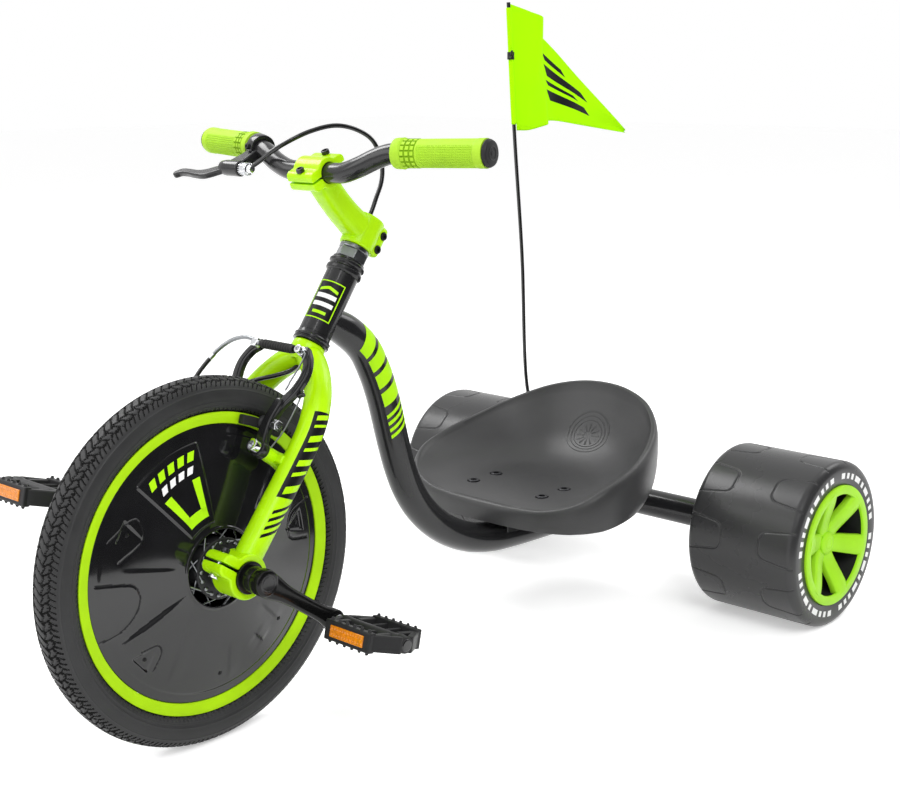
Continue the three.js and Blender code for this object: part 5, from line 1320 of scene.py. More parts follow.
def lever():
    run = MIRROR @ (Vector(BAR_HALF_ROUTE[6]) - Vector(BAR_HALF_ROUTE[4]))
    slope = Matrix.Translation(PERCH) @ along_y(run)
    clamp = ring(rounded(PERCH_CLAMP_PROFILE, 0.001), 56)
    body = shown("lever_clamp", *moved(clamp, slope), HEAD, BLACK, "steering")
    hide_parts("brake_lever_body")
    arm = flat_bar(PERCH_LINE, PERCH_HALVES, -0.0058, 0.0058)
    bevelled(shown("lever_arm", *arm, LEVER, BLACK, "steering"), 0.0022, 4)
    there = shift(0.040, 0, 0)
    shown("lever_barrel", *moved(turned(BARREL_PROFILE, 0.0014, 48), there), LEVER, BLACK, "steering")
    rib = block((0.0064, 0.0074), (-0.0185, -0.0080), (-0.0004, 0.0004))
    ribs = [moved(rib, Matrix.Rotation(turn, 4, "Y")) for turn in turns(24)]
    adjuster = merge(turned(ADJUSTER_PROFILE, 0.0008, 40), *ribs)
    shown("cable_adjuster", *moved(adjuster, there), LEVER, CHROME, "steering")
    blade = shown("blade", *flat_bar(BLADE, BLADE_HALVES, -0.0035, 0.0035, 8), LEVER, BLACK, "lever")
    bevelled(blade, 0.0022, 4)
    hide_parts("brake_lever")
    pin = moved(to_z(turned(LEVER_PIN_PROFILE, 0.0005, 28)), shift(*LEVER_PIVOT, 0))
    shown("lever_pin", *pin, LEVER, DARK_STEEL, "steering")
    round_clamp = slope @ Matrix.Rotation(math.radians(-60), 4, "Y") @ shift(0.0150, 0, 0)
    screw = moved(to_x(socket_head(0.0034, 0.0036)), round_clamp)
    shown("lever_screw", *screw, HEAD, DARK_STEEL, "steering")


# Cables, noodle and boot
HOUSING = 0.0052
COLLAR_RADIUS = 0.0031
CABLE_Z = -0.073
CABLE_LINE = shift(0.0405, 0, CABLE_Z)
UPPER_ROUTE = [
    (0.1156, -0.095, 0.0983), (0.1154, -0.086, 0.0996), (0.1155, -0.073, 0.109), (0.117, -0.061, 0.1195),
    (0.1143, -0.048, 0.134), (0.1012, -0.034, 0.1587), (0.0785, -0.026, 0.1816), (0.0527, -0.020, 0.1926),
    (0.0303, -0.015, 0.1932), (0.0094, -0.010, 0.178), (0.0019, -0.006, 0.160), (0.0016, -0.002, 0.1375),
    (0.0008, 0.0, 0.1176), (0.0008, 0.0, 0.080),
]
LOWER_ROUTE = [
    (0.0, 0.0, -0.030), (0.0, 0.0, -0.068), (0.003, -0.005, -0.083), (0.010, -0.016, -0.095),
    (0.019, -0.033, -0.108), (0.022, -0.056, -0.122), (0.025, -0.080, -0.140), (0.033, -0.097, -0.150),
    (0.039, -0.105, -0.145), (0.041, -0.1035, -0.126), (0.0407, -0.099, -0.109), (0.0405, -0.0958, -0.1016),
]
NOODLE_ROUTE = [
    (0.0405, -0.031, -0.073), (0.0405, -0.042, -0.070), (0.0405, -0.058, -0.0695), (0.0405, -0.076, -0.076),
    (0.0405, -0.090, -0.090), (0.0405, -0.0955, -0.101),
]
WIRE_ROUTE = [
    (0.0405, 0.020, -0.073), (0.0405, 0.038, -0.073), (0.0405, 0.046, -0.076), (0.0411, 0.047, -0.092),
    (0.0415, 0.044, -0.112),
]
NOODLE_HEAD_PROFILE = [
    (0.0, -0.0312), (0.0034, -0.0312), (0.0034, -0.0290), (0.0021, -0.0280), (0.0021, -0.0200),
    (0.0, -0.0200),
]
BOOT_START = -0.026
BOOT_END = 0.0273
BOOT_RIBS = 13
BOOT_BORE = 0.0032
BOOT_RADIUS = 0.0042
BOOT_SWELL = 0.0052
BOOT_END_SWELL = 0.0046


def cable(name, node, route):
    line = [HEAD @ p for p in smooth_line(route, 8)]
    piece = shown(name, *tube(route, HOUSING / 2, 20, 8), HEAD, BLACK_GLOSS, "steering")
    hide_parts(node)
    length = sum((b - a).length for a, b in zip(line, line[1:]))
    tuple(line[0])
    [tuple(p) for p in line]


def brake_cable():
    cable("upper_housing", "cable_housing_upper", UPPER_ROUTE)
    cable("lower_housing", "cable_housing_lower", LOWER_ROUTE)
    a, b = Vector(UPPER_ROUTE[0]), Vector(UPPER_ROUTE[1])
    shown("cable_ferrule", *rod(a.lerp(b, -0.02), a.lerp(b, 0.9), COLLAR_RADIUS, 20), HEAD, BLACK, "steering")
    noodle = merge(tube(NOODLE_ROUTE, 0.0024, 24, 8),
                   moved(turned(NOODLE_HEAD_PROFILE, 0.0004, 24), CABLE_LINE))
    made = shown("noodle_pipe", *noodle, HEAD, NUT_STEEL, "arm_right")
    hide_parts("brake_noodle")
    link = block((0.0360, 0.0440), (-0.0410, -0.0310), (-0.0780, -0.0680))
    bevelled(shown("noodle_link", *link, HEAD, CHROME, "arm_right"), 0.0016)
    a, b = Vector(NOODLE_ROUTE[-1]), Vector(NOODLE_ROUTE[-2])
    shown("noodle_collar", *rod(a, a.lerp(b, 0.5), COLLAR_RADIUS, 24), HEAD, CHROME, "arm_right")
    ribs = []
    pitch = (BOOT_END - BOOT_START) / BOOT_RIBS
    for k in range(BOOT_RIBS):
        y = BOOT_START + k * pitch
        swell = BOOT_SWELL if 0 < k < BOOT_RIBS - 1 else BOOT_END_SWELL
        ribs += [(BOOT_RADIUS, y), (swell, y + pitch * 0.35), (swell, y + pitch * 0.65)]
    loop = [(BOOT_BORE, BOOT_START), *ribs, (BOOT_RADIUS, BOOT_END), (BOOT_BORE, BOOT_END)]
    made = shown("boot", *moved(ring(loop, 40), CABLE_LINE), HEAD, RUBBER, "steering", math.radians(60))
    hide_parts("brake_boot")
    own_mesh(made)
    wire = shown("wire", *tube(WIRE_ROUTE, 0.0009, 12, 8), HEAD, NUT_STEEL, "arm_left")
    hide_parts("brake_wire")
    tip = Vector(WIRE_ROUTE[-1])
    shown("wire_tip", *rod(tip, tip + Vector((0.0, -0.0012, -0.008)), 0.0014, 14), HEAD, ALLOY, "arm_left")


# Brake arms and pads
LOWER_ARM = [(0.0390, -0.187), (0.0335, -0.158), (0.0370, -0.134)]
LOWER_HALVES = [0.0075, 0.0065, 0.0060]
UPPER_ARM = [
    (0.0345, -0.150), (0.0380, -0.134), (0.0490, -0.114), (0.0520, -0.095), (0.0460, -0.080),
    (0.0372, -0.0715),
]
UPPER_HALVES = [0.0055, 0.0062, 0.0060, 0.0056, 0.0056, 0.0062]
ARM_LOW = (0.0303, 0.0400)
ARM_HIGH = (0.0285, 0.0357)
ANCHOR_Y = 0.037
SPRING_ROUTE = [
    (0.0290, 0.047, -0.181), (0.0265, 0.051, -0.160), (0.0262, 0.053, -0.130), (0.0275, 0.0535, -0.112),
]
PAD_SPOT = (0.035, -0.158)
PAD_X = (0.005, 0.062)
PAD_OUTER = 0.161
PAD_INNER = 0.1508
PAD_FACE = 0.0167
PAD_BACK = 0.0250
PAD_NUT_PROFILE = [
    (0.0, 0.0440), (0.0058, 0.0440), (0.0062, 0.0446), (0.0062, 0.0500), (0.0056, 0.0508), (0.0, 0.0508),
]
PAD_WASHER_PROFILE = [(0.0, 0.0250), (0.0080, 0.0250), (0.0080, 0.0275), (0.0062, 0.0295), (0.0, 0.0295)]


def plate_yz(points, halves, low, high):
    """A flat bar drawn in Y and Z between two heights on X."""
    verts, faces = flat_bar(points, halves, low, high)
    return [(z, x, y) for x, y, z in verts], faces


def pad_outline():
    """A brake shoe's outline in X and Z: a stretch of a ring round the axle."""
    start, end = [math.pi / 2 - math.asin((x - FORK_OFFSET) / PAD_OUTER) for x in PAD_X]
    outline = arc(PAD_OUTER, start, end, 16) + arc(PAD_INNER, end, start, 16)
    return [(x + FORK_OFFSET, z - FORK_LENGTH) for x, z in outline]


def brake_arms():
    lower = plate_yz(LOWER_ARM, LOWER_HALVES, *ARM_LOW)
    upper = plate_yz(UPPER_ARM, UPPER_HALVES, *ARM_HIGH)
    face = ARM_HIGH[1]
    rib = plate_yz(UPPER_ARM[1:], [h * 0.45 for h in UPPER_HALVES[1:]], face - 0.001, face + 0.0009)
    low, high = ARM_LOW
    pivot = shift(*BRAKE_PIVOT)
    eye = ring(rounded([(0.0054, low), (0.0095, low), (0.0095, high), (0.0054, high)], 0.0012), 40)
    eye = moved(to_x(eye), pivot)
    spring = tube(SPRING_ROUTE, 0.0009, 12, 8)
    nub = rod((0.030, 0.0535, -0.120), (0.030, 0.0600, -0.117), 0.0024, 16)
    pad = prism(pad_outline(), PAD_FACE, PAD_BACK)
    there = shift(PAD_SPOT[0], 0, PAD_SPOT[1])
    stud = moved(merge(rod((0, 0.0245, 0), (0, 0.0515, 0), 0.0030, 20), lathe(PAD_NUT_PROFILE, 6)), there)
    washer = moved(turned(PAD_WASHER_PROFILE, 0.0006, 32), there)
    bolt = moved(to_x(socket_head(0.0072, 0.0095)), pivot @ shift(0.0402, 0, 0))
    for side, flip in SIDES:
        body = f"arm_{side}"
        made = shown(f"arm_upper_{side}", *moved(upper, flip), HEAD, BLACK, body)
        bevelled(made, 0.0018, 4)
        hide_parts(f"brake_arm_{side}")
        bevelled(shown(f"arm_lower_{side}", *moved(lower, flip), HEAD, BLACK, body), 0.0022, 4)
        bevelled(shown(f"arm_rib_{side}", *moved(rib, flip), HEAD, BLACK, body), 0.0007, 3)
        shown(f"arm_eye_{side}", *moved(eye, flip), HEAD, BLACK, body)
        shown(f"arm_spring_{side}", *moved(spring, flip), HEAD, NUT_STEEL, body)
        shown(f"arm_nub_{side}", *moved(nub, flip), HEAD, BLACK, body)
        shoe = bevelled(shown(f"pad_{side}", *moved(pad, flip), HEAD, RUBBER, body), 0.0014, 3)
        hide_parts(f"brake_pad_{side}")
        shown(f"pad_stud_{side}", *moved(stud, flip), HEAD, CHROME, body, math.radians(20))
        shown(f"pad_washer_{side}", *moved(washer, flip), HEAD, BLACK_SATIN, body)
        made = shown(f"pivot_bolt_{side}", *moved(bolt, flip), HEAD, CHROME, "steering")
        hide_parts(f"brake_pivot_bolt_{side}")
    anchor = moved(to_x(cylinder(0.0052, 0.0350, 0.0394, 28, 0.0005)), shift(0, ANCHOR_Y, CABLE_Z))
    shown("anchor_boss", *anchor, HEAD, CHROME, "arm_left")
    head = moved(to_x(socket_head(0.0046, 0.0046)), shift(0.0416, ANCHOR_Y, CABLE_Z))
    shown("anchor_bolt", *head, HEAD, CHROME, "arm_left")


# Cranks, spindle and pedals
CRANK_START = 0.0925
CRANK_PROFILE = [
    (0.0, 0.0925, 0.0142, 0.0068), (-0.012, 0.0930, 0.0135, 0.0066), (-0.030, 0.0945, 0.0100, 0.0062),
    (-0.060, 0.0960, 0.0088, 0.0058), (-0.090, 0.0965, 0.0094, 0.0060), (-0.104, 0.0965, 0.0115, 0.0063),
    (-0.112, 0.0965, 0.0118, 0.0063),
]
CRANK_BOSS_PROFILE = [
    (0.0, CRANK_START), (0.0140, CRANK_START), (0.0146, 0.0995), (0.0140, 0.1062), (0.0106, 0.1070),
    (0.0, 0.1070),
]
CRANK_TIP_PROFILE = [(0.0, 0.0960), (0.0118, 0.0960), (0.0122, 0.1025), (0.0118, 0.1090), (0.0, 0.1090)]
SPINDLE_CUP_PROFILE = [
    (0.0084, 0.0460), (0.0160, 0.0460), (0.0160, 0.0768), (0.0135, 0.0772), (0.0138, 0.0850),
    (0.0128, 0.0915), (0.0084, 0.0915),
]
SPINDLE_RING_PROFILE = [(0.0084, 0.0765), (0.0172, 0.0765), (0.0172, 0.0795), (0.0084, 0.0795)]
SPINDLE_HALF = 0.1035
PEDAL_PIN_PROFILE = [
    (0.0, 0.0965), (0.0050, 0.0965), (0.0050, 0.1090), (0.0075, 0.1092), (0.0075, 0.1130), (0.0055, 0.1135),
    (0.0050, 0.2050), (0.0, 0.2050),
]
PEDAL_IN = 0.118
PEDAL_OUT = 0.213
RAIL_IN = 0.135
RAIL_OUT = 0.193
PEDAL_REACH = 0.038
PEDAL_HALF = 0.0105
PEDAL_BARREL_PROFILE = [
    (0.0056, PEDAL_IN), (0.0090, PEDAL_IN), (0.0100, 0.1230), (0.0088, 0.1320), (0.0088, 0.1950),
    (0.0100, 0.2030), (0.0086, PEDAL_OUT), (0.0056, PEDAL_OUT),
]


def crank():
    """The left crank arm: round ends joined by a waisted bar that leans outwards."""
    line = smooth_line([(x, y + thick, wide) for x, y, wide, thick in CRANK_PROFILE], 6)
    thicks = smooth_line([(thick, 0, 0) for _, _, _, thick in CRANK_PROFILE], 6)
    section = soft_box(32, 2.8)
    rows = [[(p.x, p.y + q.x * up, p.z * across) for across, up in section] for p, q in zip(line, thicks)]
    boss = turned(CRANK_BOSS_PROFILE, 0.0016, 56)
    tip = moved(turned(CRANK_TIP_PROFILE, 0.0016, 48), shift(-CRANK_LENGTH, 0, 0))
    return merge(skin(rows, looped=True, caps=True), boss, tip)


def crankset():
    cup = merge(turned(SPINDLE_CUP_PROFILE, 0.0006, 56), ring(rounded(SPINDLE_RING_PROFILE, 0.0008), 56))
    cap = merge(turned([(0.0, 0.1072), (0.0100, 0.1072), (0.0104, 0.1066)], 0.0004, 40),
                turned([(0.0070, 0.1071), (0.0076, 0.1076), (0.0082, 0.1071)], 0.0002, 40))
    pin = moved(turned(PEDAL_PIN_PROFILE, 0.0005, 32), shift(-CRANK_LENGTH, 0, 0))
    for (side, flip), turn in zip(SIDES, (Matrix(), Matrix.Rotation(math.pi, 4, "Z"))):
        made = shown(f"cup_{side}", *moved(cup, flip), AXLE, BLACK_DEEP, "steering")
        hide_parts(f"spindle_cup_{side}")
        made = shown(f"crank_{side}", *moved(crank(), turn), AXLE, BLACK_DEEP, "crankset")
        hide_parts(f"crank_arm_{side}")
        shown(f"crank_cap_{side}", *moved(cap, turn), AXLE, BLACK, "crankset")
        made = shown(f"pedal_pin_{side}", *moved(pin, turn), AXLE, CHROME, "crankset")
        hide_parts(f"pedal_spindle_{side}")
    spindle = rod((0, -SPINDLE_HALF, 0), (0, SPINDLE_HALF, 0), 0.0079, 40)
    made = shown("spindle", *spindle, AXLE, DARK_STEEL, "crankset")
    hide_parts("crank_spindle")


def pedal_body():
    """One pedal's frame round its own pin: two rails, end webs and cross bars."""
    parts = []
    for end in (1, -1):
        rail = sorted((end * (PEDAL_REACH - 0.0085), end * PEDAL_REACH))
        parts.append(block(rail, (RAIL_IN - 0.004, RAIL_OUT + 0.004), (-PEDAL_HALF, PEDAL_HALF)))
        web = sorted((end * 0.006, end * (PEDAL_REACH - 0.004)))
        for y in ((RAIL_IN - 0.004, RAIL_IN + 0.003), (RAIL_OUT - 0.003, RAIL_OUT + 0.004)):
            parts.append(block(web, y, (-0.0085, 0.0085)))
        for near, far in ((PEDAL_OUT - 0.0035, RAIL_OUT + 0.001), (PEDAL_IN + 0.0035, RAIL_IN - 0.001)):
            a, b = (end * 0.008, near), (end * (PEDAL_REACH - 0.006), far)
            middle = ((a[0] + b[0]) / 2, (a[1] + b[1]) / 2)
            parts.append(flat_bar([a, middle, b], [0.0034] * 3, -0.0088, 0.0088, 2))
        bar = sorted((end * 0.007, end * (PEDAL_REACH - 0.006)))
        for y in (0.1535, 0.1735):
            parts.append(block(bar, (y - 0.0018, y + 0.0018), (-0.0070, 0.0070)))
    return merge(*parts)


def pedal_teeth():
    """Low pyramids along both rails, above and below."""
    tooth = lathe([(0.0, 0.0), (0.0030, 0.0), (0.0016, 0.0030), (0.0, 0.0032)], 4)
    teeth = []
    for end in (1, -1):
        for top in (1, -1):
            turn = Matrix.Rotation(top * math.pi / 2, 4, "X")
            for k in range(6):
                y = 0.164 + (k - 2.5) * 0.0108
                teeth.append(moved(tooth, shift(end * 0.0337, y, top * (PEDAL_HALF - 0.0003)) @ turn))
    return merge(*teeth)


def pedal_reflectors():
    """The plate of each rail's reflector, and its cells."""
    cell = lathe([(0.0, 0.0), (0.0018, 0.0), (0.0, 0.0007)], 4)
    amber, cells = [], []
    for end in (1, -1):
        x = sorted((end * (PEDAL_REACH - 0.0005), end * (PEDAL_REACH + 0.0012)))
        amber.append(block(x, (0.1400, 0.1880), (-0.0062, 0.0062)))
        turn = Matrix.Rotation(-end * math.pi / 2, 4, "Z")
        for k in range(12):
            for row in (-0.0030, 0.0030):
                spot = shift(end * (PEDAL_REACH + 0.0011), 0.1425 + k * 0.0039, row)
                cells.append(moved(cell, spot @ turn))
    return merge(*amber), merge(*cells)


def pedals():
    frame_part, teeth = pedal_body(), pedal_teeth()
    amber, cells = pedal_reflectors()
    barrel = turned(PEDAL_BARREL_PROFILE, 0.0012, 40)
    cap = turned([(0.0, 0.2140), (0.0058, 0.2140), (0.0068, 0.2130), (0.0068, 0.2110)], 0.0005, 32)
    for (side, flip), spot in zip(SIDES, (-CRANK_LENGTH, CRANK_LENGTH)):
        place = AXLE @ shift(spot, 0, 0) @ Matrix.Rotation(PEDAL_PITCH, 4, "Y") @ flip
        body = f"foot_{side}"
        made = bevelled(shown(f"pedal_frame_{side}", *frame_part, place, BLACK_SATIN, body), 0.0014, 3)
        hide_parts(f"pedal_{side}")
        shown(f"pedal_barrel_{side}", *barrel, place, BLACK_SATIN, body)
        shown(f"pedal_teeth_{side}", *teeth, place, BLACK_SATIN, body, math.radians(20))
        bevelled(shown(f"pedal_reflector_{side}", *amber, place, AMBER, body), 0.0006)
        shown(f"pedal_cells_{side}", *cells, place, AMBER, body, math.radians(10))
        shown(f"pedal_cap_{side}", *cap, place, BLACK_GLOSS, body)


# Seat
SEAT_BACK_X = 0.054
SEAT_LENGTH = 0.254
SEAT_HALF_WIDTH = 0.158
SEAT_LOW_Z = 0.1705
SEAT_RISE = 0.1115
SEAT_RIM_SHARES = [
    (1, 0, 0), (0.992, 0.348, 0), (0.969, 0.608, 0.022), (0.902, 0.848, 0.121), (0.78, 0.981, 0.274),
    (0.594, 1, 0.408), (0.378, 0.911, 0.561), (0.201, 0.759, 0.722), (0.071, 0.519, 0.883),
    (0.012, 0.253, 0.973), (0, 0, 1),
]
SEAT_CENTRE = Vector((0.205, 0, 0.174))
SEAT_UNDER = Vector((0.200, 0, 0.1413))
FLOOR_SHARES = [(0.0, 0.0), (0.14, 0.0), (0.28, 0.0), (0.52, 0.06), (0.74, 0.3), (0.9, 0.68), (0.968, 0.9)]
SEAT_SIDES = 264
SEAT_LIP = [
    (-0.0030, -0.0003), (-0.0010, 0.0007), (0.0012, 0.0008), (0.0034, -0.0004), (0.0052, -0.0030),
    (0.0063, -0.0070), (0.0067, -0.0130),
]
SEAT_WALL = [(0.0067, 0.0190), (0.0064, 0.0250), (0.0057, 0.0310), (0.0042, 0.0362)]
SKIRT_OUT = 0.004
SKIRT_DROP = 0.036
SKIRT_MOST_SHARE = 0.85
SKIRT_MORE = 0.65
UNDER_SHARES = [(0.985, 0.82), (0.95, 0.55), (0.88, 0.28), (0.74, 0.08), (0.5, 0), (0.2, 0)]
BOLT_X = (0.211, 0.256)
BOLT_Y = 0.058
RECESS_RADIUS = 0.0095
RECESS_DEPTH = 0.0034
PLATE_X = (0.1915, 0.2755)
PLATE_HALF = 0.073
PLATE_Z = (0.1522, 0.1562)
WEB_Y = (0.0125, 0.0178)
WEB_LOW = 0.1205
EMBOSS_CENTRE = (0.088, 0.0)
EMBOSS_RISE = 0.0009
EMBOSS_SQUASH = 0.52


def rim_line(count):
    """Evenly spaced points round the seat's rim, from the front middle round by the left."""
    half = [Vector((SEAT_BACK_X + fore * SEAT_LENGTH, out * SEAT_HALF_WIDTH, SEAT_LOW_Z + up * SEAT_RISE))
            for fore, out, up in SEAT_RIM_SHARES]
    loop = half + [Vector((p.x, -p.y, p.z)) for p in reversed(half[1:-1])]
    line = smooth_line(loop, 24, closed=True)
    lengths = [0.0]
    for a, b in zip(line, [*line[1:], line[0]]):
        lengths.append(lengths[-1] + (b - a).length)
    line.append(line[0])
    out, k = [], 0
    for i in range(count):
        want = lengths[-1] * i / count
        while lengths[k + 1] < want:
            k += 1
        out.append(line[k].lerp(line[k + 1], (want - lengths[k]) / (lengths[k + 1] - lengths[k])))
    return out


def seat_ring(rim, share, rise):
    """The rim drawn in towards the seat's middle."""
    return [Vector((SEAT_CENTRE.x + (p.x - SEAT_CENTRE.x) * share, p.y * share,
                    SEAT_CENTRE.z + (p.z - SEAT_CENTRE.z) * rise)) for p in rim]


def seat_out(rim, out, drop):
    """The rim pushed out and dropped, deeper where it stands higher."""
    rings = []
    for p in rim:
        away = Vector((p.x - SEAT_CENTRE.x, p.y, 0)).normalized()
        height = p.z - SEAT_UNDER.z
        deeper = 1 + SKIRT_MORE * smooth_step(0.025, 0.085, height)
        low = min(drop * deeper, height * SKIRT_MOST_SHARE * min(drop / SKIRT_DROP * 1.6, 1))
        rings.append(Vector((p.x + away.x * out, p.y + away.y * out, p.z - low)))
    return rings


def seat_shell():
    """The bucket seat: bowl, rolled lip, wall and under side, closed at both middles."""
    rim = rim_line(SEAT_SIDES)
    profile = smooth_line([(s, r, 0) for s, r in FLOOR_SHARES], 5)
    rings = [seat_ring(rim, max(p.x, 0.02), p.y) for p in profile[1:]]
    for out, up in SEAT_LIP:
        lift = Vector((0, 0, max(up, 0.0)))
        rings.append([q + lift for q in seat_out(rim, out, max(-up, 0.0))])
    rings += [seat_out(rim, out, drop) for out, drop in SEAT_WALL]
    skirt = seat_out(rim, SKIRT_OUT, SKIRT_DROP)
    for out, rise in UNDER_SHARES:
        rings.append([Vector((SEAT_UNDER.x + (p.x - SEAT_UNDER.x) * out, p.y * out,
                              SEAT_UNDER.z + (p.z - SEAT_UNDER.z) * rise)) for p in skirt])
    n = SEAT_SIDES
    verts = [v for ring_points in rings for v in ring_points]
    faces = []
    for i in range(len(rings) - 1):
        for j in range(n):
            k = (j + 1) % n
            faces.append([i * n + j, (i + 1) * n + j, (i + 1) * n + k, i * n + k])
    verts += [SEAT_CENTRE.copy(), SEAT_UNDER.copy()]
    top, low = len(verts) - 2, len(verts) - 1
    last = (len(rings) - 1) * n
    for j in range(n):
        k = (j + 1) % n
        faces.append([top, j, k])
        faces.append([last + j, low, last + k])
    return verts, faces


def emboss_rings():
    """Plain raised rings and short spokes moulded into the seat's back, laid on the bowl's own slope."""
    rim = rim_line(SEAT_SIDES)
    profile = smooth_line([(s, r, 0) for s, r in FLOOR_SHARES], 12)

    def on_bowl(x, y, lift):
        away = Vector((x - SEAT_CENTRE.x, y))
        turn = math.atan2(away.y, away.x)

        def apart(p):
            same_side = p.y >= 0 or turn < 0 or abs(turn) < 3
            return abs(math.atan2(p.y, p.x - SEAT_CENTRE.x) - turn) if same_side else 9

        best = min(rim, key=apart)
        share = away.length / Vector((best.x - SEAT_CENTRE.x, best.y)).length
        rise = profile[-1].y
        for a, b in zip(profile, profile[1:]):
            if a.x <= share <= b.x and b.x > a.x:
                rise = a.y + (b.y - a.y) * (share - a.x) / (b.x - a.x)
                break
        return Vector((x, y, SEAT_CENTRE.z + (best.z - SEAT_CENTRE.z) * rise + lift))

    def band(r0, r1, start, end, steps):
        section = [(r0, -0.0006), (r0 + 0.0005, EMBOSS_RISE), (r1 - 0.0005, EMBOSS_RISE), (r1, -0.0006)]
        rows = []
        for i in range(steps + 1):
            turn = start + (end - start) * i / steps
            rows.append([on_bowl(EMBOSS_CENTRE[0] + r * math.cos(turn) * EMBOSS_SQUASH,
                                 EMBOSS_CENTRE[1] + r * math.sin(turn), lift) for r, lift in section])
        return skin(rows)

    full = 2 * math.pi
    spokes = [band(0.0060, 0.0180, turn, turn + 0.16, 4) for turn in turns(12)]
    return merge(band(0.0315, 0.0345, 0, full, 96), band(0.0262, 0.0280, 0, full, 80),
                 band(0.0210, 0.0226, 0, full, 72), *spokes)


def seat():
    piece = shown("seat_shell", *seat_shell(), BASE, SEAT_BLACK, "frame", math.radians(50))
    well = to_z(lathe([(0.0, 0.0), (RECESS_RADIUS - 0.001, 0.0), (RECESS_RADIUS, 0.02), (0.0, 0.02)], 40))
    low = SEAT_CENTRE.z - RECESS_DEPTH
    recesses = [moved(well, shift(x, y, low)) for x in BOLT_X for y in (BOLT_Y, -BOLT_Y)]
    bay = block((PLATE_X[0] - 0.001, PLATE_X[1] + 0.001), (-PLATE_HALF - 0.0015, PLATE_HALF + 0.0015),
                (0.10, 0.1565))
    under = [(0.50, 0, 0.24), (0.40, 0, 0.165), *MAIN_ROUTE[11:16], (-0.2, 0, 0.105)]
    tunnel = tube(under, MAIN_RADIUS + 0.0004, 32, 6)
    cut_by(piece, [*recesses, bay, tunnel], BASE)
    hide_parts("seat")
    plate = [block(PLATE_X, (-PLATE_HALF, PLATE_HALF), PLATE_Z)]
    for side in (-1, 1):
        web = sorted((side * WEB_Y[0], side * WEB_Y[1]))
        plate.append(block(PLATE_X, web, (WEB_LOW, PLATE_Z[0] + 0.001)))
    made = bevelled(shown("plate", *merge(*plate), BASE, BLACK, "frame"), 0.0012)
    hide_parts("seat_plate")
    shown("seat_emboss", *emboss_rings(), BASE, SEAT_BLACK, "frame")
    washer = cylinder(0.0088, 0.0, 0.0011, 32, 0.0003)
    screw = to_z(merge(washer, moved(socket_head(0.0075, 0.0042), shift(0, 0.001, 0))))
    shank = to_z(cylinder(0.0038, -0.0065, 0.016, 20))
    nut = to_z(lathe([(0.0, -0.006), (0.0068, -0.006), (0.0075, -0.0052), (0.0075, 0.0), (0.0, 0.0)], 6))
    for fore, x in zip(("rear", "front"), BOLT_X):
        for side, y in (("left", BOLT_Y), ("right", -BOLT_Y)):
            made = shown(f"seat_screw_{fore}_{side}", *screw, BASE @ shift(x, y, low), DARK_STEEL, "frame")
            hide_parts(f"seat_bolt_{fore}_{side}")
            place = BASE @ shift(x, y, PLATE_Z[0] - 0.0003)
            shown(f"seat_nut_{fore}_{side}", *merge(shank, nut), place, CHROME, "frame", math.radians(20))


# Rear wheels
ROLLER_IN = 0.1772
ROLLER_OUT = 0.3329
ROLLER_ROUND = 0.010
HUB_RADIUS = 0.0783
HUB_WALL = 0.0120
HUB_FACE = 0.3356
HUB_RING = 0.0035
HUB_TABS = 9
TAB_TURN = math.radians(8)
TAB_LONG = 0.050
TAB_EDGE_HALF = 0.0235
TAB_END_HALF = 0.0165
TAB_CORNER = 0.010
TAB_GROOVE = 0.0010
TAB_HALF_GROOVE = 0.0013
ROLLER_SIDES = 1320
ROLLER_ROWS = 130
HUB_BOSS_PROFILE = [
    (0.0110, 0.3078), (0.0110, 0.3180), (0.0150, 0.3180), (0.0156, 0.3120), (0.0164, 0.2300),
    (0.0164, ROLLER_IN + 0.004), (0.0095, ROLLER_IN + 0.004), (0.0095, 0.3078),
]
HUB_CAP_PROFILE = [
    (0.0, 0.3183), (0.0148, 0.3183), (0.0150, 0.3196), (0.0142, 0.3214), (0.0100, 0.3229), (0.0, 0.3233),
]
AXLE_BOLT_PROFILE = [
    (0.0, 0.1755), (0.0060, 0.1755), (0.0060, 0.3083), (0.0100, 0.3083), (0.0100, 0.3150), (0.0, 0.3153),
]


def tab_drop(turn, y):
    """The thin grooves that outline the roller's rounded tabs, in facing pairs from its two edges."""
    pitch = 2 * math.pi / HUB_TABS
    across = abs(((turn - TAB_TURN) / pitch + 0.5) % 1.0 - 0.5) * pitch * REAR_RADIUS
    away = min(y - ROLLER_IN, ROLLER_OUT - y)
    half = TAB_EDGE_HALF + (TAB_END_HALF - TAB_EDGE_HALF) * min(away / TAB_LONG, 1.0)
    beside = across - half + TAB_CORNER
    beyond = away - TAB_LONG + TAB_CORNER
    if beside > 0 and beyond > 0:
        gap_to = abs(math.hypot(beside, beyond) - TAB_CORNER)
    else:
        gap_to = abs(max(beside, beyond) - TAB_CORNER)
    return TAB_GROOVE * (1 - smooth_step(TAB_HALF_GROOVE * 0.4, TAB_HALF_GROOVE * 1.3, gap_to))


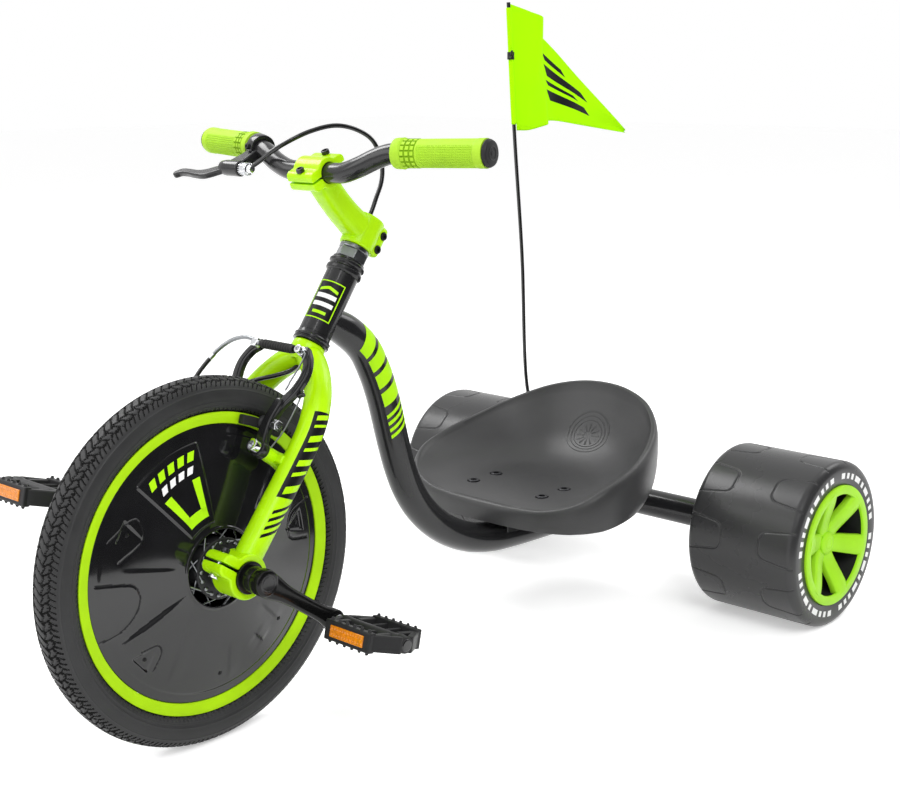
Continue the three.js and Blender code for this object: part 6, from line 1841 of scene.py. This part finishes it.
def roller_shell():
    """A rear roller: a drum with rounded edges, its tabs outlined by thin grooves."""
    inner = HUB_RADIUS + 0.0004
    soft = ROLLER_ROUND
    flat = ROLLER_OUT - ROLLER_IN - 2 * soft
    leans = [math.pi / 2 * k / 8 for k in range(9)]
    profile = [(inner, ROLLER_IN + 0.004), (inner, ROLLER_IN + 0.0005), (inner + 0.0006, ROLLER_IN)]
    edge = [(REAR_RADIUS - soft + soft * math.sin(lean), soft * math.cos(lean)) for lean in leans]
    profile += [(r, ROLLER_IN + soft - away) for r, away in edge]
    profile += [(REAR_RADIUS, ROLLER_IN + soft + flat * k / ROLLER_ROWS) for k in range(1, ROLLER_ROWS)]
    profile += [(r, ROLLER_OUT - soft + away) for r, away in reversed(edge)]
    profile += [(inner + 0.0008, ROLLER_OUT), (inner, ROLLER_OUT - 0.0005), (inner, ROLLER_OUT - 0.004)]
    rows = []
    for turn in turns(ROLLER_SIDES):
        drops = [tab_drop(turn, y) if r > REAR_RADIUS - 0.004 else 0.0 for r, y in profile]
        rows.append([round_point(r - drop, y, turn) for (r, y), drop in zip(profile, drops)])
    return skin(rows, closed=True)


PETAL_TURN = math.radians(47)
PETAL_START = 0.0135
PETAL_LOW = 0.3180
PETAL_SECTION = [
    (-1.0, -0.0095), (-1.0, -0.0014), (-0.92, 0.0), (-0.5, 0.0010), (0.0, 0.0014), (0.5, 0.0010), (0.92, 0.0),
    (1.0, -0.0014), (1.0, -0.0095),
]


def petal():
    """One broad spoke: a shallow channel that slopes in from the ring to the boss."""
    reach = HUB_RADIUS - HUB_WALL * 0.6 - PETAL_START
    rise = HUB_FACE - 0.0006 - PETAL_LOW
    verts, faces = [], []
    for share in [k / 14 for k in range(15)]:
        y = PETAL_LOW + rise * (0.25 * share + 0.75 * smooth_step(0.0, 1.0, share))
        half = 0.0112 + 0.0025 * share
        verts += [(PETAL_START + reach * share, y + drop, side * half) for side, drop in PETAL_SECTION]
    n = len(PETAL_SECTION)
    for i in range(14):
        for j in range(n - 1):
            a = i * n + j
            faces.append([a, a + 1, a + n + 1, a + n])
        faces.append([i * n + n - 1, i * n, (i + 1) * n, (i + 1) * n + n - 1])
    faces.append(list(range(n)))
    faces.append(list(range(14 * n, 15 * n)))
    return verts, faces


def rear_wheels():
    inside, outside = HUB_RADIUS - HUB_WALL, HUB_RADIUS - 0.0002
    edge = HUB_FACE - HUB_RING
    face = ring([(inside, edge), (inside, HUB_FACE - 0.0012), (inside + 0.0006, HUB_FACE - 0.0003),
                 (inside + 0.0014, HUB_FACE), (outside - 0.0010, HUB_FACE),
                 (outside - 0.0003, HUB_FACE - 0.0004), (outside, HUB_FACE - 0.0012), (outside, edge)], 160)
    drum = ring([(inside + 0.002, edge - 0.0002), (outside, edge - 0.0002), (outside, ROLLER_IN),
                 (0.0095, ROLLER_IN), (0.0095, ROLLER_IN + 0.006), (inside + 0.002, ROLLER_IN + 0.006)], 120)
    boss = ring(rounded(HUB_BOSS_PROFILE, 0.0006, 2), 72)
    petals = [moved(petal(), Matrix.Rotation(turn + PETAL_TURN, 4, "Y")) for turn in turns(6)]
    mark = turned([(0.0058, 0.3229), (0.0066, 0.3236), (0.0074, 0.3229)], 0.0002, 40)
    cap = merge(turned(HUB_CAP_PROFILE, 0.0008, 56), mark)
    bolt = turned(AXLE_BOLT_PROFILE, 0.0005, 32)
    roller = roller_shell()
    for side, flip in SIDES:
        body = f"wheel_rear_{side}"
        made = shown(f"roller_{side}", *moved(roller, flip), REAR, ROLLER, body)
        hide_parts(f"rear_roller_{side}")
        made = shown(f"hub_face_{side}", *moved(face, flip), REAR, LIME_PLASTIC, body)
        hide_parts(f"rear_hub_{side}")
        shown(f"hub_drum_{side}", *moved(drum, flip), REAR, BLACK_SATIN, body)
        shown(f"hub_boss_{side}", *moved(boss, flip), REAR, LIME_PLASTIC, body)
        for k, part in enumerate(petals):
            made = shown(f"hub_petal_{side}_{k}", *moved(part, flip), REAR, LIME_PLASTIC, body,
                         math.radians(50))
            bevelled(made, 0.0005, 2, math.radians(50))
        made = shown(f"hub_cap_{side}", *moved(cap, flip), REAR, LIME_PLASTIC, body)
        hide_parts(f"rear_hub_cap_{side}")
        made = shown(f"axle_bolt_{side}", *moved(bolt, flip), REAR, DARK_STEEL, "frame")
        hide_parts(f"rear_axle_bolt_{side}")
        roller_art(side, flip)


MARK_IN = 0.0862
MARK_OUT = 0.0936
MARK_GROUPS = 4
MARKS = [
    (3.0, 8.5), (12, 16), (19.5, 23.5), (27, 36), (40, 44), (47.5, 56), (60, 64), (67.5, 71.5), (75, 80.5),
]


def roller_art(side, flip):
    """Plain white bars of mixed lengths round the roller's outer face."""
    bars = []
    for group in turns(MARK_GROUPS):
        for start, end in MARKS:
            steps = [group + math.radians(start + (end - start) * i / 6) for i in range(7)]
            bars.append(skin([[round_point(r, ROLLER_OUT + 0.00012, turn) for r in (MARK_IN, MARK_OUT)]
                              for turn in steps]))
    shown(f"roller_bars_{side}", *moved(merge(*bars), flip), REAR, WHITE_INK, f"wheel_rear_{side}", None)


# Flag
FLAG_Y = -0.158
POLE_FOOT = (0.010, 0.135)
POLE_TOP = (0.0732, 0.790)
POLE_BOW_SHARES = [(0.3, 0.18), (0.5, 0.47), (0.79, 0.74)]
POLE_RADIUS = 0.0026
SOCKET_HEIGHT = 0.030
CLOTH_STAND = 0.0032
FLY = 0.267
HOIST = 0.170
FLAG_DROP = 0.002
TOP_SHARES = [(0, 0), (0.115, 0.055), (0.205, 0.105), (0.245, 0.195), (0.47, 0.455), (1, 1.045)]
BOTTOM_SHARES = [(0.058, 1), (0.125, 1), (0.24, 0.965), (0.35, 0.936), (0.588, 0.98), (1, 1.07)]
SWING_SHARES = [0, 0.03, 0.05, -0.025, -0.015, 0]
TIE_Z = 0.719
SLEEVE_Z = (0.6225, 0.7870)
CLOTH_COLUMNS = 90
CLOTH_ROWS = 60


def pole_line():
    foot_x, foot_z = POLE_FOOT
    top_x, top_z = POLE_TOP
    bow = [(foot_x + (top_x - foot_x) * out, FLAG_Y, foot_z + (top_z - foot_z) * up)
           for out, up in POLE_BOW_SHARES]
    straight = [(foot_x, FLAG_Y, foot_z + rise) for rise in (0, SOCKET_HEIGHT, 2 * SOCKET_HEIGHT)]
    return [*straight, *bow, (top_x, FLAG_Y, top_z)]


def cloth_grid(columns, rows):
    """The hung cloth as columns of points from the hoist to the fly."""
    top = smooth_line([(out, down, 0) for out, down in TOP_SHARES], 24)
    bottom = smooth_line([(out, down, 0) for out, down in BOTTOM_SHARES], 24)
    swing = smooth_line([(k, s, 0) for k, s in enumerate(SWING_SHARES)], 24)
    last = len(top) - 1
    grid = []
    for i in range(columns):
        at = i / (columns - 1) * last
        k = min(int(at), last - 1)
        part = at - k
        a, b = top[k].lerp(top[k + 1], part), bottom[k].lerp(bottom[k + 1], part)
        s = swing[k].lerp(swing[k + 1], part).y
        column = []
        for j in range(rows):
            down = j / (rows - 1)
            p = a.lerp(b, down)
            ripple = 0.0022 * math.sin(9.0 * i / columns + 2.2 * down) * math.sin(math.pi * i / (columns - 1))
            curl = 0.0016 * math.sin(21.0 * i / columns + 5.0 * down) * smooth_step(0.1, 0.5, i / columns)
            column.append(Vector((POLE_TOP[0] - CLOTH_STAND - p.x * FLY, FLAG_Y + s * FLY + ripple + curl,
                                  POLE_TOP[1] - FLAG_DROP - p.y * HOIST)))
        grid.append(column)
    return grid


FLAG_BARS = [
    (0.62, 0.76, 0.22, 0.29), (0.62, 0.84, 0.35, 0.47), (0.62, 0.80, 0.53, 0.58), (0.62, 0.84, 0.64, 0.76),
]


def cloth_patch(grid, u0, u1, v0, v1, side):
    """A printed patch that follows one face of the cloth, slanted along its length."""
    def place(along, down):
        u = (u0 + (u1 - u0) * along + 0.02 * down) * (len(grid) - 1)
        v = (v0 + (v1 - v0) * down) * (len(grid[0]) - 1)
        a, b = int(u), int(v)
        low = grid[a][b].lerp(grid[a + 1][b], u - a)
        high = grid[a][b + 1].lerp(grid[a + 1][b + 1], u - a)
        return low.lerp(high, v - b) + Vector((0, side * 0.0005, 0))

    return patch(place, 16)


def cloth_stitches(grid):
    """Two rows of stitches, on both faces of the cloth."""
    columns, rows = len(grid), len(grid[0])
    stitches = []
    for row in (2, rows - 3):
        for i in range(2, columns - 3, 2):
            a, b = grid[i][row], grid[i + 1][row]
            for side in (-1, 1):
                off = Vector((0, side * 0.0004, 0))
                stitches.append(rod(a + off, a.lerp(b, 0.75) + off, 0.00022, 5))
    return merge(*stitches)


def flag():
    line = smooth_line(pole_line(), 24)
    pole = shown("pole", *tube(pole_line(), POLE_RADIUS, 24, 10), BASE, BLACK_GLOSS, "frame")
    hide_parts("flag_pole")
    grid = cloth_grid(CLOTH_COLUMNS, CLOTH_ROWS)
    cloth = shown("pennant", *skin(grid), BASE, FLAG_CLOTH, "frame", None)
    thick = cloth.modifiers.new("cloth", "SOLIDIFY")
    thick.thickness = 0.0005
    thick.offset = 0
    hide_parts("flag")
    held = [p for p in line if SLEEVE_Z[0] <= p.z <= SLEEVE_Z[1]]
    hem = shown("flag_sleeve", *tube(held, POLE_RADIUS + 0.0009, 20, 2), BASE, FLAG_CLOTH, "frame", None)
    seam = shown("flag_stitches", *cloth_stitches(grid), BASE, LIME_INK, "frame", None)
    bars = [cloth_patch(grid, *bar, side) for bar in FLAG_BARS for side in (-1, 1)]
    marks = shown("flag_bars", *merge(*bars), BASE, BLACK_INK_AND_SHADE, "frame", None)
    tie = tube([(0.0, 0.0, 0.0), (0.0, 0.0, 0.010)], POLE_RADIUS + 0.0022, 24, 2)
    spot = min(line, key=lambda p: abs(p.z - TIE_Z))
    start = spot + Vector((0.003, 0.003, 0))
    knot = [moved(tie, Matrix.Translation(spot - Vector((0, 0, 0.005))))]
    knot += [rod(start, spot + Vector(end), 0.0016, 10)
             for end in ((0.012, 0.008, -0.004), (0.009, 0.010, 0.006))]
    tied = shown("flag_tie", *merge(*knot), BASE, BLACK_SATIN, "frame")
    socket = to_z(ring(soft_loop(0.0030, 0.0070, 0.0, SOCKET_HEIGHT, 0.0006), 40))
    socket = moved(socket, shift(POLE_FOOT[0], FLAG_Y, POLE_FOOT[1] - 0.004))
    shown("flag_socket", *socket, BASE, BLACK, "frame")
    collar = ring(soft_loop(0.0194, 0.0232, -0.009, 0.009, 0.0008), 64)
    made = shown("flag_clip", *moved(collar, shift(0, FLAG_Y, 0)), REAR, BLACK, "frame")
    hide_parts("flag_bracket")


brake_cable()
tyre()
rim()
cover("left", WHEEL)
cover("right", WHEEL @ MIRROR)
front_hub()
fork()
head_parts()
frame_tubes()
handlebar()
stem()
lever()
brake_arms()
crankset()
pedals()
seat()
rear_wheels()
flag()
